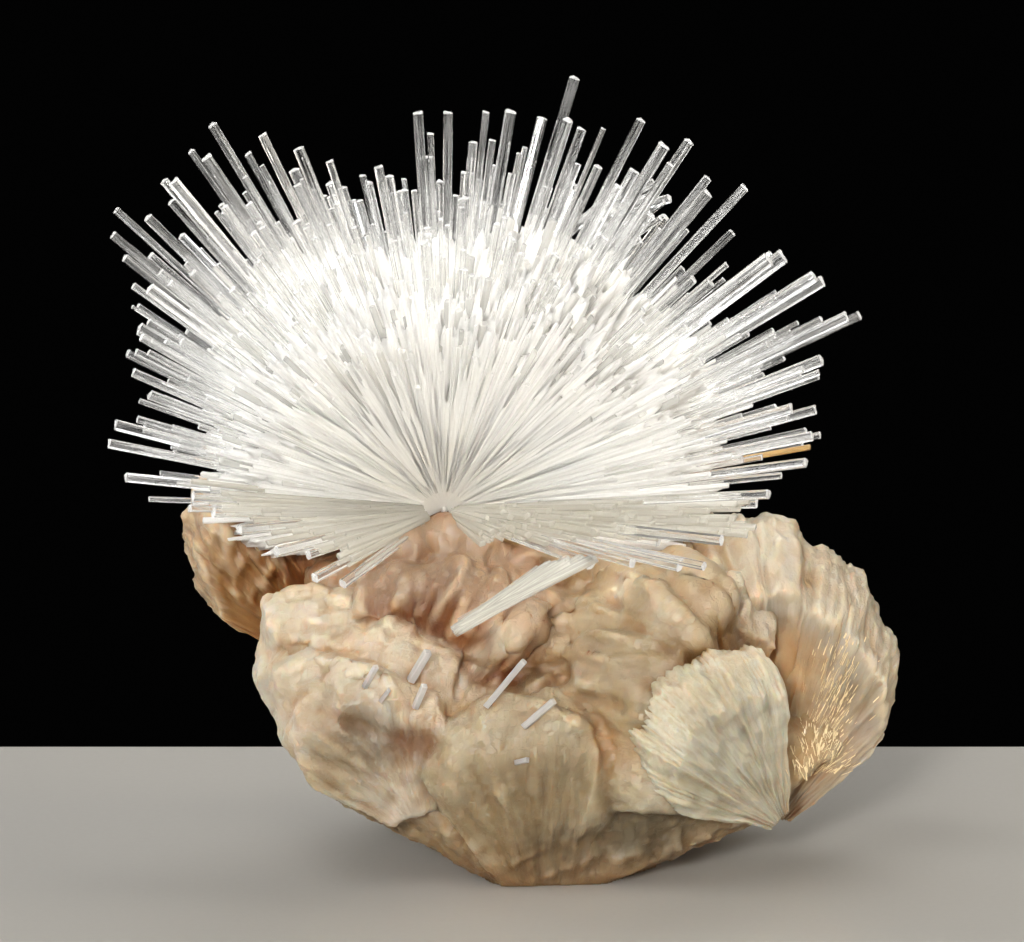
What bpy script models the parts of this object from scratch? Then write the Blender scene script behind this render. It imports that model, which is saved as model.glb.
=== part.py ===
"""A scolecite spray on a stilbite cluster, a cabinet mineral specimen standing on its broken foot.

The frame is +Z up, with -Y towards the front, and the origin in the middle of the flat foot.
Blender's unit is the metre. The sizes below are in millimetres, and MM turns them to metres.
"""

import math
import random
from collections import namedtuple

import bmesh
import bpy
from mathutils import Matrix, Vector
from mathutils.bvhtree import BVHTree

MM = 0.001
MERGE = 0.0005

# The spray: every needle points away from one root, just above the middle of the matrix.
ROOT = Vector((-17.2, -8.0, 60.8))
ROOT_KNOB = Vector((7.5, 6.5, 6.0))
KNOB_DROP = 3.5
SEAT_GAP = 0.35
CORE_RADIUS = 21.0
CORE_CUTS = 7
CORE_NUDGE = 0.05
BUNDLE_LENGTHS = (0.66, 0.90)
BUNDLE_INSET = 0.27
FRONT_SHORTENING = 0.55

# Directions that hold no needles: down onto the matrix, and the open hollow at the front.
LOWEST_BACK = 8.0
LOWEST_SIDE = -6.0
HOLLOW_AXIS = Vector((0.03, -math.cos(math.radians(20)), -math.sin(math.radians(20))))
HOLLOW_HALF_ANGLE = 68.0

# Needles that stand clear of the rest: tip from the root (x, y, z), and width across the prism.
TALL_NEEDLES = (
    # left sweep, from the horizon upwards
    (-40.2, -22.0, 3.5, 1.5), (-53.7, -3.0, 14.5, 1.8), (-54.2, -9.0, 12.2, 1.6),
    (-49.2, 8.0, 18.0, 1.5), (-50.8, -2.0, 23.0, 1.6), (-52.3, 4.0, 25.5, 1.8),
    (-48.8, -8.0, 29.5, 1.7), (-50.7, 7.0, 33.0, 1.4), (-47.8, -4.0, 37.0, 2.0),
    (-52.3, 2.0, 41.5, 1.8), (-49.0, 12.0, 41.0, 1.8), (-53.5, -5.0, 45.8, 1.8),
    (-54.0, 6.0, 49.0, 1.5), (-48.0, -3.0, 48.5, 2.0), (-46.5, 11.0, 53.5, 1.5),
    (-43.5, -6.0, 54.5, 1.9), (-41.8, 9.0, 58.5, 1.6), (-38.3, -4.0, 58.3, 2.3),
    (-37.8, 3.0, 63.2, 2.0), (-32.5, 10.0, 58.0, 1.6), (-29.3, -2.0, 61.8, 1.8),
    (-24.8, 8.0, 55.5, 1.8), (-23.3, -5.0, 59.8, 1.7), (-18.7, 6.0, 53.5, 2.0),
    # crown
    (-13.5, 9.0, 54.5, 1.4), (-9.0, 3.0, 54.8, 1.7), (-4.0, -4.0, 65.5, 1.9),
    (-2.2, 7.0, 61.5, 1.5), (0.8, 1.0, 65.3, 2.0), (4.8, 9.0, 60.0, 1.5),
    (7.0, -3.0, 65.5, 1.4), (8.0, 6.0, 60.5, 1.6), (11.0, 1.0, 65.5, 2.4),
    (16.2, 9.0, 64.0, 1.7), (20.3, -3.0, 64.3, 2.2), (21.5, 4.0, 70.8, 2.2),
    (22.8, 12.0, 62.0, 1.6), (25.2, -4.0, 56.8, 1.6), (31.6, 13.0, 55.0, 1.9),
    (32.3, 2.0, 64.0, 1.9), (35.8, -6.0, 60.3, 2.0), (40.2, 3.0, 60.5, 2.2),
    # right sweep, from the top down to the horizon
    (43.7, 11.0, 54.0, 1.6), (43.0, -5.0, 52.5, 1.8), (49.3, 2.0, 53.0, 2.1),
    (47.8, 10.0, 45.0, 1.7), (43.3, -10.0, 38.5, 1.6), (53.0, -4.0, 41.8, 2.4),
    (55.9, 5.0, 41.5, 2.4), (60.5, -2.0, 38.8, 1.9), (62.5, 6.0, 37.3, 2.1),
    (61.3, -8.0, 32.3, 1.5), (66.2, 2.0, 31.8, 1.9), (68.8, 7.0, 31.5, 2.0),
    (52.3, -14.0, 29.0, 1.5), (61.8, -3.0, 25.2, 2.1), (62.0, 6.0, 21.5, 1.6),
    (56.3, -12.0, 18.3, 1.7), (61.2, 1.0, 16.5, 1.7), (60.0, -8.0, 13.3, 1.8),
    (60.5, 5.0, 10.0, 1.5), (58.7, -12.0, 9.5, 2.0), (52.2, -20.0, 5.5, 1.8),
    (44.5, -26.0, -1.0, 1.7), (41.7, -27.0, -5.0, 1.6),
    (38.0, -24.0, -5.6, 1.9), (30.5, -22.0, -5.4, 1.8), (49.0, -16.0, -1.5, 1.8),
    (24.0, -20.0, -6.0, 1.9), (51.0, -10.0, 2.5, 1.6), (35.0, -12.0, -3.5, 2.0),
    # lower left, shorter and shorter towards the matrix
    (-40.0, -18.0, 5.0, 1.7), (-36.7, -19.0, 2.4, 1.8), (-32.5, -20.0, -0.2, 1.9),
    (-26.7, -19.0, -4.0, 1.9), (-21.8, -14.0, -5.4, 1.8), (-20.8, -15.0, -9.0, 2.0),
    (-16.2, -16.0, -9.8, 1.8),
)
NEEDLE_START = 12.0
TIP_SLANT = 0.3
CLEAR_OF_MATRIX = 0.8
CLEARANCE_STEPS = 24
HALF_DIAGONAL = 0.71

# Needles that lie along the wall of the hollow, shorter towards the viewer.
WALL_NEEDLES = 42
WALL_LENGTHS = (18.0, 44.0)
WALL_WIDTHS = (1.4, 2.2)
WALL_START = 5.0
WALL_SWEEP = 96.0
WALL_LIFT = (-1.0, 5.0)
WALL_JITTER = 3.0
# Long needles that lean back, behind the ones listed above.
BACK_NEEDLES = 19
BACK_LENGTHS = (50.0, 62.0)
BACK_LEAN = 0.3
# Blunt stubs at the root: tip from the root, and width.
STUBS = (
    (2.2, -8.5, 1.2, 3.0), (-2.4, -7.0, 4.6, 2.8), (0.6, -6.5, 8.0, 2.6), (-6.5, -6.5, 0.8, 2.6),
)

# The small sheaf that leans in front of the spray: its foot on the matrix, seen from the front
# (x, z), and the way it runs to its tip.
SHEAF_SEAT = (-15.4, 43.4)
SHEAF_RUN = Vector((21.6, -15.0, 16.2))
SHEAF_BLADES = 6
SHEAF_SPREAD = 6.5
SHEAF_SHORTER = 0.3
BLADE_WIDTH = 1.5

# Short single prisms on the face of the matrix: where each stands, seen from the front (x, z),
# the way it runs, and its width.
SINGLE_NEEDLES = (
    ((-29.8, 35.2), (1.9, -1.5, 3.6), 0.9), ((-27.0, 33.1), (1.4, -1.0, 2.0), 0.7),
    ((-21.6, 31.8), (1.6, -1.8, 4.0), 0.9), ((-22.6, 35.4), (2.9, -2.2, 5.2), 1.1),
    ((-10.0, 31.9), (6.0, -3.5, 8.0), 1.0), ((-4.1, 29.0), (4.7, -2.5, 4.7), 1.0),
    ((-5.4, 23.5), (2.0, -1.0, 0.7), 0.8),
)
SEAT_OFFSET = 0.35
FAR_IN_FRONT = 100.0

# Stilbite sheaves. Blades fan out from a hinge about an aim; face is the way their flat side looks.
# reach lists the blades' lengths across the fan, seen from the front, from left to right.
# tooth is how much shorter every second edge is, ridge how deep the furrows are down the sides.
Fan = namedtuple("Fan", "name hinge aim face spread depth reach root blades layers tooth ridge")
FANS = (
    Fan("right", (37.5, 2, 8), (0.29, 0.0, 0.96), (0.1, -1, 0.05), 30, 17,
        (48, 51, 45, 36, 22), (3, 5), 10, 2, 0.035, 0.04),
    Fan("right_inner", (27, -5, 20), (-0.15, -0.2, 0.97), (0.1, -1, 0.2), 22, 15,
        (25, 31, 33, 32, 27), (4, 5), 5, 2, 0.06, 0.05),
    Fan("centre", (31, -7, 15), (-0.70, -0.42, 0.58), (0.7, -0.7, 0.0), 30, 19,
        (25, 33, 39, 41, 40), (5, 5), 6, 3, 0.05, 0.05),
    Fan("silky", (37, -16, 11), (-0.50, -0.52, 0.67), (0.3, -0.9, -0.1), 27, 4,
        (25, 35, 39, 37, 30), (2, 2), 6, 1, 0.07, 0.2),
    Fan("pocket", (-19, -12, 30), (0.2, -0.12, 0.97), (-0.1, -1, 0.35), 30, 12,
        (22, 24, 26, 25, 22), (6, 4), 5, 1, 0.10, 0.1),
    Fan("left_back", (-24, -8, 13), (-0.24, -0.14, 0.96), (-0.1, -1, 0.2), 34, 7,
        (27, 40, 37, 34, 34), (4, 4), 5, 1, 0.04, 0.08),
    Fan("left_middle", (-23, -14, 12), (-0.34, -0.14, 0.92), (-0.15, -1, 0.2), 29, 6,
        (24, 35, 33, 32, 28), (4, 4), 4, 1, 0.04, 0.08),
    Fan("left_front", (-22, -18, 13), (-0.42, -0.25, 0.86), (-0.25, -1, 0.25), 32, 6,
        (18, 29, 29, 25, 19), (4, 4), 4, 1, 0.04, 0.08),
    Fan("left_top", (-36, 5, 35), (-0.42, -0.02, 0.91), (-0.1, -1, 0.1), 38, 15,
        (17, 28, 35, 27, 20, 17, 15), (4, 5), 7, 2, 0.08, 0.08),
    Fan("keel", (-1, -14, -3), (-0.09, -0.33, 0.94), (0.1, -1, -0.3), 28, 7,
        (32, 38, 40, 37, 28), (4, 3), 5, 1, 0.04, 0.05),
    Fan("left_side", (-16, 2, 18), (-0.88, 0.22, 0.42), (-0.3, 0.1, 1), 34, 24,
        (17, 23, 27, 28, 25), (5, 5), 5, 1, 0.05, 0.06),
    Fan("back_left", (-14, 8, 22), (-0.50, 0.78, 0.37), (0.1, 0, 1), 36, 25,
        (28, 31, 33, 32, 28), (5, 5), 5, 2, 0.06, 0.06),
    Fan("back_right", (15, 8, 20), (0.50, 0.80, 0.33), (-0.15, 0, 1), 36, 24,
        (28, 32, 34, 32, 28), (5, 5), 6, 2, 0.06, 0.06),
    Fan("back_top", (1, 4, 24), (0.0, 0.70, 0.71), (0.05, -1, 1), 48, 12,
        (27, 31, 34, 32, 28), (6, 5), 6, 1, 0.06, 0.06),
)
FAN_RINGS = 3
FAN_ROUNDING = 0.10
FAN_UNEVEN = 0.04
BLADE_SHIFT = 0.32
RIDGE_RANGE = (0.2, 1.7)
SLAB_SIZE = 200.0

# Corners of the broken rock that the sheaves grow from. The first six, at height 0, are the foot.
HEART = (
    (-8, -18, 0), (8, -18, 0), (17, -6, 0), (15, 17, 0), (-10, 19, 0), (-16, 2, 0),
    (-17, -14, 4), (-29, -12, 11), (-38, -7, 13), (-42, -5, 21), (-47, -4, 30), (-48, 0, 44),
    (20, -15, 5), (33, -11, 8), (42, -8, 15), (51, -6, 23), (56, -2, 29),
    (8, -25, 19), (21, -23, 17), (36, -16, 12), (-26, -20, 22), (-16, -20, 10), (-30, -16, 15),
    (-38, 14, 20), (-25, 24, 18), (-9, 30, 14), (15, 30, 12), (32, 21, 16), (44, 12, 26),
    (-42, 15, 42), (-22, 27, 40), (0, 33, 36), (24, 28, 40), (42, 14, 44),
    (-34, 10, 50), (-10, 22, 52), (18, 20, 52), (36, 8, 50),
    (-30, -9, 41), (-16, -8, 54), (6, -6, 52), (28, -8, 44),
)


def new_object(name, bm, collection):
    """A mesh object of this bmesh, which is in millimetres, linked into a collection."""
    bmesh.ops.triangulate(bm, faces=bm.faces)
    bmesh.ops.recalc_face_normals(bm, faces=bm.faces)
    bmesh.ops.scale(bm, vec=(MM, MM, MM), verts=bm.verts)
    mesh = bpy.data.meshes.new(name)
    bm.to_mesh(mesh)
    bm.free()
    obj = bpy.data.objects.new(name, mesh)
    collection.objects.link(obj)
    return obj


def new_collection(name):
    made = bpy.data.collections.new(name)
    bpy.context.scene.collection.children.link(made)
    return made


def as_helper(obj):
    """Marks an object as a cutter or guide, which isn't part of the model."""
    obj.hide_render = True
    obj.display_type = "WIRE"
    return obj


def combine(target, others, operation):
    """Joins or cuts target with every object of a collection, and keeps the result as its mesh."""
    modifier = target.modifiers.new(operation.title(), "BOOLEAN")
    modifier.operand_type = "COLLECTION"
    modifier.collection = others
    modifier.operation = operation
    modifier.solver = "EXACT"
    modifier.use_self = operation == "UNION"
    graph = bpy.context.evaluated_depsgraph_get()
    mesh = bpy.data.meshes.new_from_object(target.evaluated_get(graph))
    target.modifiers.remove(modifier)
    target.data = mesh


def outer_shell(bm):
    """The faces of the largest connected shell, the outside of the solid."""
    left = set(bm.faces)
    shells = []
    while left:
        shell = set()
        front = [left.pop()]
        while front:
            face = front.pop()
            shell.add(face)
            near = {other for edge in face.edges for other in edge.link_faces} & left
            left -= near
            front.extend(near)
        shells.append(shell)
    return max(shells, key=len)


def tidy_mesh(obj):
    """Cleans up after a Boolean: fills sealed voids and merges points almost on each other."""
    bm = bmesh.new()
    bm.from_mesh(obj.data)
    voids = list(set(bm.faces) - outer_shell(bm))
    bmesh.ops.delete(bm, geom=voids, context="FACES")
    bmesh.ops.remove_doubles(bm, verts=bm.verts, dist=MERGE * MM)
    bmesh.ops.triangulate(bm, faces=bm.faces)
    bm.to_mesh(obj.data)
    bm.free()


def mixed(values, place):
    """Reads an evenly spaced list of values at a place from 0 to 1, with straight lines between."""
    step = place * (len(values) - 1)
    low = min(int(step), len(values) - 2)
    return values[low] + (values[low + 1] - values[low]) * (step - low)


def divided_cube(cuts_by_axis):
    """A cube from -1 to 1 whose edges along X, Y and Z have these numbers of cuts."""
    bm = bmesh.new()
    bmesh.ops.create_cube(bm, size=2)
    for axis, cuts in enumerate(cuts_by_axis):
        along = [e for e in bm.edges if abs((e.verts[0].co - e.verts[1].co)[axis]) > 1e-6]
        bmesh.ops.subdivide_edges(bm, edges=along, cuts=cuts, use_grid_fill=True)
    return bm


def stilbite_fan(number, fan, collection):
    """A sheaf of blades: a cube opened like a hand of cards, with a toothed outer edge."""
    bm = divided_cube((2 * fan.blades - 1, 2 * fan.layers - 1, FAN_RINGS - 1))
    aim = Vector(fan.aim).normalized()
    side = aim.cross(Vector(fan.face)).normalized()
    normal = side.cross(aim).normalized()
    draw = random.Random(number)
    columns = range(2 * fan.blades + 1)
    uneven = [[draw.uniform(-FAN_UNEVEN, FAN_UNEVEN) for _ in range(2 * fan.layers + 1)]
              for _ in columns]
    shift = [draw.uniform(-BLADE_SHIFT, BLADE_SHIFT) / fan.blades for _ in columns]
    furrow = [draw.uniform(*RIDGE_RANGE) * (column % 2 == 0) for column in columns]
    for vertex in bm.verts:
        across, through, out = vertex.co.x, vertex.co.y, (vertex.co.z + 1) / 2
        column = round((across + 1) * fan.blades)
        layer = round((through + 1) * fan.layers)
        length = mixed(fan.reach, (across + 1) / 2) * (1 + uneven[column][layer])
        length *= 1 - fan.tooth * furrow[column] - FAN_ROUNDING * through * through
        turn = math.radians(fan.spread) * (across + shift[column])
        lift = math.radians(fan.depth) * through * (1 - fan.ridge * furrow[column])
        ray = math.cos(lift) * (math.cos(turn) * aim + math.sin(turn) * side)
        ray += math.sin(lift) * normal
        foot = Vector(fan.hinge) + fan.root[0] * across * side + fan.root[1] * through * normal
        vertex.co = foot + ray * length * out
    return as_helper(new_object("fan_" + fan.name, bm, collection))


def broken_heart(name, collection):
    """The rock under the sheaves: flat breaks between hand-placed corners."""
    bm = bmesh.new()
    for corner in HEART:
        bm.verts.new(corner)
    made = bmesh.ops.convex_hull(bm, input=bm.verts)
    spare = {v for key in ("geom_interior", "geom_unused") for v in made[key]
             if isinstance(v, bmesh.types.BMVert)}
    bmesh.ops.delete(bm, geom=list(spare), context="VERTS")
    return new_object(name, bm, collection)


def knob(name, grow, collection):
    """The root of the spray, a low knob; grown a little, it also cuts the seat for itself."""
    bm = bmesh.new()
    bmesh.ops.create_icosphere(bm, subdivisions=2, radius=1)
    bmesh.ops.scale(bm, vec=ROOT_KNOB + Vector((grow, grow, grow)), verts=bm.verts)
    bmesh.ops.translate(bm, vec=ROOT - Vector((0, 0, KNOB_DROP)), verts=bm.verts)
    return as_helper(new_object(name, bm, collection))


def below_foot(collection):
    """A slab under the foot, which cuts the matrix off flat at height 0."""
    bm = bmesh.new()
    bmesh.ops.create_cube(bm, size=SLAB_SIZE)
    bmesh.ops.translate(bm, vec=(0, 0, -SLAB_SIZE / 2), verts=bm.verts)
    return as_helper(new_object("below_foot", bm, collection))


def stilbite_matrix(parts):
    """The stilbite cluster: the broken rock and every sheaf joined in one solid."""
    fans = new_collection("stilbite fans")
    fans.hide_render = True
    for number, fan in enumerate(FANS):
        stilbite_fan(number, fan, fans)
    cutters = new_collection("matrix cutters")
    cutters.hide_render = True
    below_foot(cutters)
    knob("seat_cutter", SEAT_GAP, cutters)
    matrix = broken_heart("stilbite_matrix", parts)
    combine(matrix, fans, "UNION")
    combine(matrix, cutters, "DIFFERENCE")
    tidy_mesh(matrix)
    return matrix


def holds_needles(ray):
    """True if scolecite grew this way from the root."""
    ray = ray.normalized()
    backness = (ray.y / max(math.hypot(ray.x, ray.y), 1e-6) + 1) / 2
    lowest = LOWEST_SIDE + (LOWEST_BACK - LOWEST_SIDE) * backness
    if math.degrees(math.asin(ray.z)) < lowest:
        return False
    return math.degrees(ray.angle(HOLLOW_AXIS)) > HOLLOW_HALF_ANGLE


def needle_reach(ray):
    """How far needles reach this way: as the nearest tall needle, but shorter towards the front."""
    tips = [Vector(needle[:3]) for needle in TALL_NEEDLES]
    nearest = min(tips, key=lambda tip: ray.angle(tip))
    return nearest.length * (1 - FRONT_SHORTENING * max(0.0, -ray.y))


def drop_corner_contacts(bm):
    """Deletes faces until no two parts of an open shell meet at a single corner."""
    while True:
        pinched = [v for v in bm.verts if sum(e.is_boundary for e in v.link_edges) > 2]
        if not pinched:
            return
        faces = {f for v in pinched for f in v.link_faces}
        bmesh.ops.delete(bm, geom=list(faces), context="FACES")


def spray_core(name, tree, collection):
    """The heart of the spray: part of a ball closed to the root, each outer face drawn out to
    a bundle of needles."""
    draw = random.Random(21)
    bm = divided_cube((CORE_CUTS, CORE_CUTS, CORE_CUTS))
    for vertex in bm.verts:
        nudge = Vector([draw.uniform(-CORE_NUDGE, CORE_NUDGE) for _ in range(3)])
        vertex.co = (vertex.co.normalized() + nudge).normalized() * CORE_RADIUS
    bare = [f for f in bm.faces if not holds_needles(f.calc_center_median())]
    bmesh.ops.delete(bm, geom=bare, context="FACES")
    drop_corner_contacts(bm)
    rim = [e for e in bm.edges if e.is_boundary]
    outer = list(bm.faces)
    walls = bmesh.ops.extrude_edge_only(bm, edges=rim)
    inner = [v for v in walls["geom"] if isinstance(v, bmesh.types.BMVert)]
    bmesh.ops.pointmerge(bm, verts=inner, merge_co=(0, 0, 0))
    for face in outer:
        ray = face.calc_center_median().normalized()
        length = needle_reach(ray) * draw.uniform(*BUNDLE_LENGTHS)
        width = min(edge.calc_length() for edge in face.edges)
        fits = clears(tree, ROOT + ray * CORE_RADIUS, ROOT + ray * length, width)
        if length < CORE_RADIUS + width or not fits:
            continue
        bmesh.ops.inset_individual(bm, faces=[face], thickness=BUNDLE_INSET * width)
        bmesh.ops.translate(bm, vec=ray * (length - CORE_RADIUS), verts=face.verts)
    bmesh.ops.translate(bm, vec=ROOT, verts=bm.verts)
    return new_object(name, bm, collection)


def prism(bm, foot, tip, width, turn=0.0):
    """One square scolecite prism with a slanted end, added to a bmesh."""
    along = tip - foot
    place = Matrix.Translation(foot) @ along.to_track_quat("Z", "Y").to_matrix().to_4x4()
    place = place @ Matrix.Rotation(turn, 4, "Z")
    radius = width / math.sqrt(2)
    made = bmesh.ops.create_cone(bm, cap_ends=True, segments=4, radius1=radius, radius2=radius,
                                 depth=along.length)["verts"]
    for vertex in made:
        if vertex.co.z > 0:
            vertex.co.z += TIP_SLANT * vertex.co.x
    bmesh.ops.translate(bm, vec=(0, 0, along.length / 2), verts=made)
    bmesh.ops.transform(bm, matrix=place, verts=made)


def matrix_tree(matrix):
    """A lookup of the matrix's surface, in millimetres."""
    bm = bmesh.new()
    bm.from_mesh(matrix.data)
    bmesh.ops.scale(bm, vec=(1 / MM, 1 / MM, 1 / MM), verts=bm.verts)
    tree = BVHTree.FromBMesh(bm)
    bm.free()
    return tree


def clears(tree, foot, tip, width):
    """True if a needle from foot to tip stays clear of the matrix all along."""
    room = width * HALF_DIAGONAL + CLEAR_OF_MATRIX
    for step in range(CLEARANCE_STEPS + 1):
        point = foot.lerp(tip, step / CLEARANCE_STEPS)
        _, _, _, distance = tree.find_nearest(point)
        if distance < room:
            return False
    ray = tip - foot
    return tree.ray_cast(foot, ray.normalized(), ray.length)[0] is None


def add_needle(tree, bm, tip, width, start, draw):
    """Adds one needle, given by its tip from the root, unless the matrix is in its way."""
    foot = ROOT + tip.normalized() * start
    if clears(tree, foot, ROOT + tip, width):
        prism(bm, foot, ROOT + tip, width, draw.uniform(0, math.pi / 2))


def wall_ray(draw, share):
    """A direction along the wall of the hollow; share goes from its left end to its right end."""
    around = math.radians(WALL_SWEEP * (2 * share - 1) + draw.uniform(-WALL_JITTER, WALL_JITTER))
    across = HOLLOW_AXIS.cross(Vector((0, 0, 1))).normalized()
    up = across.cross(HOLLOW_AXIS).normalized()
    out = math.radians(HOLLOW_HALF_ANGLE + draw.uniform(*WALL_LIFT))
    return math.cos(out) * HOLLOW_AXIS + math.sin(out) * (
        math.cos(around) * up + math.sin(around) * across)


def back_ray(draw):
    """A direction in the back half of the spray, evenly spread."""
    while True:
        ray = Vector([draw.uniform(-1, 1) for _ in range(3)])
        if ray.length < 1 and ray.y > BACK_LEAN * ray.length and holds_needles(ray):
            return ray.normalized()


def spray_needles(tree, collection):
    """Every needle that stands out of the core, joined later into one solid with it."""
    draw = random.Random(7)
    bm = bmesh.new()
    for *tip, width in TALL_NEEDLES:
        add_needle(tree, bm, Vector(tip), width, NEEDLE_START, draw)
    for number in range(WALL_NEEDLES):
        ray = wall_ray(draw, number / (WALL_NEEDLES - 1))
        length = draw.uniform(*WALL_LENGTHS)
        add_needle(tree, bm, ray * length, draw.uniform(*WALL_WIDTHS), WALL_START, draw)
    for _ in range(BACK_NEEDLES):
        tip = back_ray(draw) * draw.uniform(*BACK_LENGTHS)
        add_needle(tree, bm, tip, draw.uniform(*WALL_WIDTHS), NEEDLE_START, draw)
    for *tip, width in STUBS:
        prism(bm, ROOT, ROOT + Vector(tip), width, draw.uniform(0, math.pi / 2))
    return as_helper(new_object("needles", bm, collection))


def scolecite_spray(parts, tree):
    """The big spray: its core, its root knob and its needles, joined in one solid."""
    pieces = new_collection("spray pieces")
    pieces.hide_render = True
    knob("root_knob", 0.0, pieces)
    spray_needles(tree, pieces)
    spray = spray_core("scolecite_spray", tree, parts)
    combine(spray, pieces, "UNION")
    tidy_mesh(spray)
    return spray


def seat_on_matrix(tree, place, width):
    """The point just off the matrix that a crystal of this width stands on, seen from the front."""
    hit, normal, _, _ = tree.ray_cast(Vector((place[0], -FAR_IN_FRONT, place[1])), Vector((0, 1, 0)))
    return hit + normal * (SEAT_OFFSET + width / 2)


def side_sheaf(parts, tree):
    """The small sheaf in front: blades that spread a little from one foot, joined in one solid."""
    blades = new_collection("sheaf blades")
    blades.hide_render = True
    draw = random.Random(5)
    foot = seat_on_matrix(tree, SHEAF_SEAT, BLADE_WIDTH)
    along = SHEAF_RUN.normalized()
    across = along.cross(Vector((0, -1, 0))).normalized()
    made = []
    for number in range(SHEAF_BLADES):
        share = number / (SHEAF_BLADES - 1)
        swing = math.radians(SHEAF_SPREAD) * (2 * share - 1)
        length = SHEAF_RUN.length * (1 - SHEAF_SHORTER * share)
        ray = math.cos(swing) * along - math.sin(swing) * across
        bm = bmesh.new()
        prism(bm, foot, foot + ray * length, BLADE_WIDTH, draw.uniform(0, math.pi / 2))
        if made:
            made.append(as_helper(new_object(f"blade_{number}", bm, blades)))
        else:
            made.append(new_object("scolecite_side_sheaf", bm, parts))
    combine(made[0], blades, "UNION")
    tidy_mesh(made[0])
    return made[0]


def single_needles(parts, tree):
    """The short single prisms on the face of the matrix."""
    made = []
    for number, (place, run, width) in enumerate(SINGLE_NEEDLES, 1):
        foot = seat_on_matrix(tree, place, width)
        bm = bmesh.new()
        prism(bm, foot, foot + Vector(run), width, number)
        made.append(new_object(f"scolecite_needle_{number}", bm, parts))
    return made


def finish(objects, name, colour, roughness):
    """Gives objects one plain material."""
    material = bpy.data.materials.new(name)
    material.use_nodes = True
    shader = material.node_tree.nodes["Principled BSDF"]
    shader.inputs["Base Color"].default_value = (*colour, 1)
    shader.inputs["Roughness"].default_value = roughness
    shader.inputs["Metallic"].default_value = 0.0
    for obj in objects:
        obj.data.materials.clear()
        obj.data.materials.append(material)


def main():
    for obj in list(bpy.data.objects):
        bpy.data.objects.remove(obj)
    parts = new_collection("Scolecite on stilbite")
    matrix = stilbite_matrix(parts)
    tree = matrix_tree(matrix)
    spray = scolecite_spray(parts, tree)
    sheaf = side_sheaf(parts, tree)
    needles = single_needles(parts, tree)
    finish([matrix], "stilbite", (0.78, 0.60, 0.45), 0.45)
    finish([spray, sheaf, *needles], "scolecite", (0.92, 0.93, 0.92), 0.12)


main()
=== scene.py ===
"""Looks of a scolecite spray on a stilbite cluster: meshes, finishes, floor, light and camera.

The numbers are millimetres in the same frame as the solids, and MM turns them to metres.
"""

import math
import random
from collections import namedtuple
from functools import partial

import bpy
import numpy as np
from mathutils import Matrix, Vector, noise
from mathutils.bvhtree import BVHTree
from mathutils.kdtree import KDTree


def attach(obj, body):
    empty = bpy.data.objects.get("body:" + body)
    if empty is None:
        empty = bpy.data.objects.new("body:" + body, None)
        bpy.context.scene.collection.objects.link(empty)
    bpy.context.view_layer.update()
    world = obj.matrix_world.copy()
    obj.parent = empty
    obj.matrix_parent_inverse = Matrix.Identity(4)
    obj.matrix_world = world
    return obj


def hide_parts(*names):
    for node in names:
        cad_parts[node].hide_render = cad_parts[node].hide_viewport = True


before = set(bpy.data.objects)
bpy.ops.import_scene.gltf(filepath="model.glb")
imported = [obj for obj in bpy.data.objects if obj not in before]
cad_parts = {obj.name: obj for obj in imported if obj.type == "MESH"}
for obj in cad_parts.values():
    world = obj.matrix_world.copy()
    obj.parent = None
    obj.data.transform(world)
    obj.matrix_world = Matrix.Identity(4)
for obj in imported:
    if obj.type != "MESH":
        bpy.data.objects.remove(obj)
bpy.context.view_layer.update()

MM = 0.001

# The photograph's view: where the camera looks, from how far, how steeply down, and its frame.
CAMERA_TARGET = Vector((-0.006, 0.0, 0.0661))
CAMERA_DISTANCE = 0.640
CAMERA_RISE = math.radians(8)
CAMERA_BACK = Vector((0, -math.cos(CAMERA_RISE), math.sin(CAMERA_RISE)))
CAMERA_UP = Vector((0, math.sin(CAMERA_RISE), math.cos(CAMERA_RISE)))
LENS = 135
SENSOR = 36
FRAME_WIDTH = 1024
FRAME_HEIGHT = 942

# The spray's root, and the open hollow at its front that holds no needles: its axis, across and
# up along its wall, and half its opening in degrees.
ROOT = Vector((-17.2, -8, 60.8))
HOLLOW_AXIS = Vector((0.03, -math.cos(math.radians(20)), -math.sin(math.radians(20))))
HOLLOW_ACROSS = HOLLOW_AXIS.cross(Vector((0, 0, 1))).normalized()
HOLLOW_UP = HOLLOW_ACROSS.cross(HOLLOW_AXIS).normalized()
HOLLOW_HALF_ANGLE = 76
# The lowest needles at the back and at the sides, and how much lower the milky heart reaches in
# front, in degrees. Then the rearmost tips, and how much shorter needles are in front.
LOWEST_BACK = 8
LOWEST_SIDE = -6
CORE_DIP = 40
BACK_EDGE = 49.4
FRONT_SHORTENING = 0.55
# The milky heart: its share of the needles' reach, how near the root it starts, and the rings
# of its mesh, in degrees from the hollow's axis and closest at the wall.
CORE_SHARE = 0.66
CORE_FOOT = 0.6
CORE_RINGS = [*np.linspace(0, 62, 6), *np.linspace(64, 96, 64), *np.linspace(97.5, 180, 56)]
CORE_TURNS = 720
# How its wall is combed and its bundles stand out: fineness and strength of each noise.
CORE_COMB = ((22, 0.6), (50, 0.4), (110, 0.25))
CORE_BUNDLES = ((16, 0.08), (44, 0.10))

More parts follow.
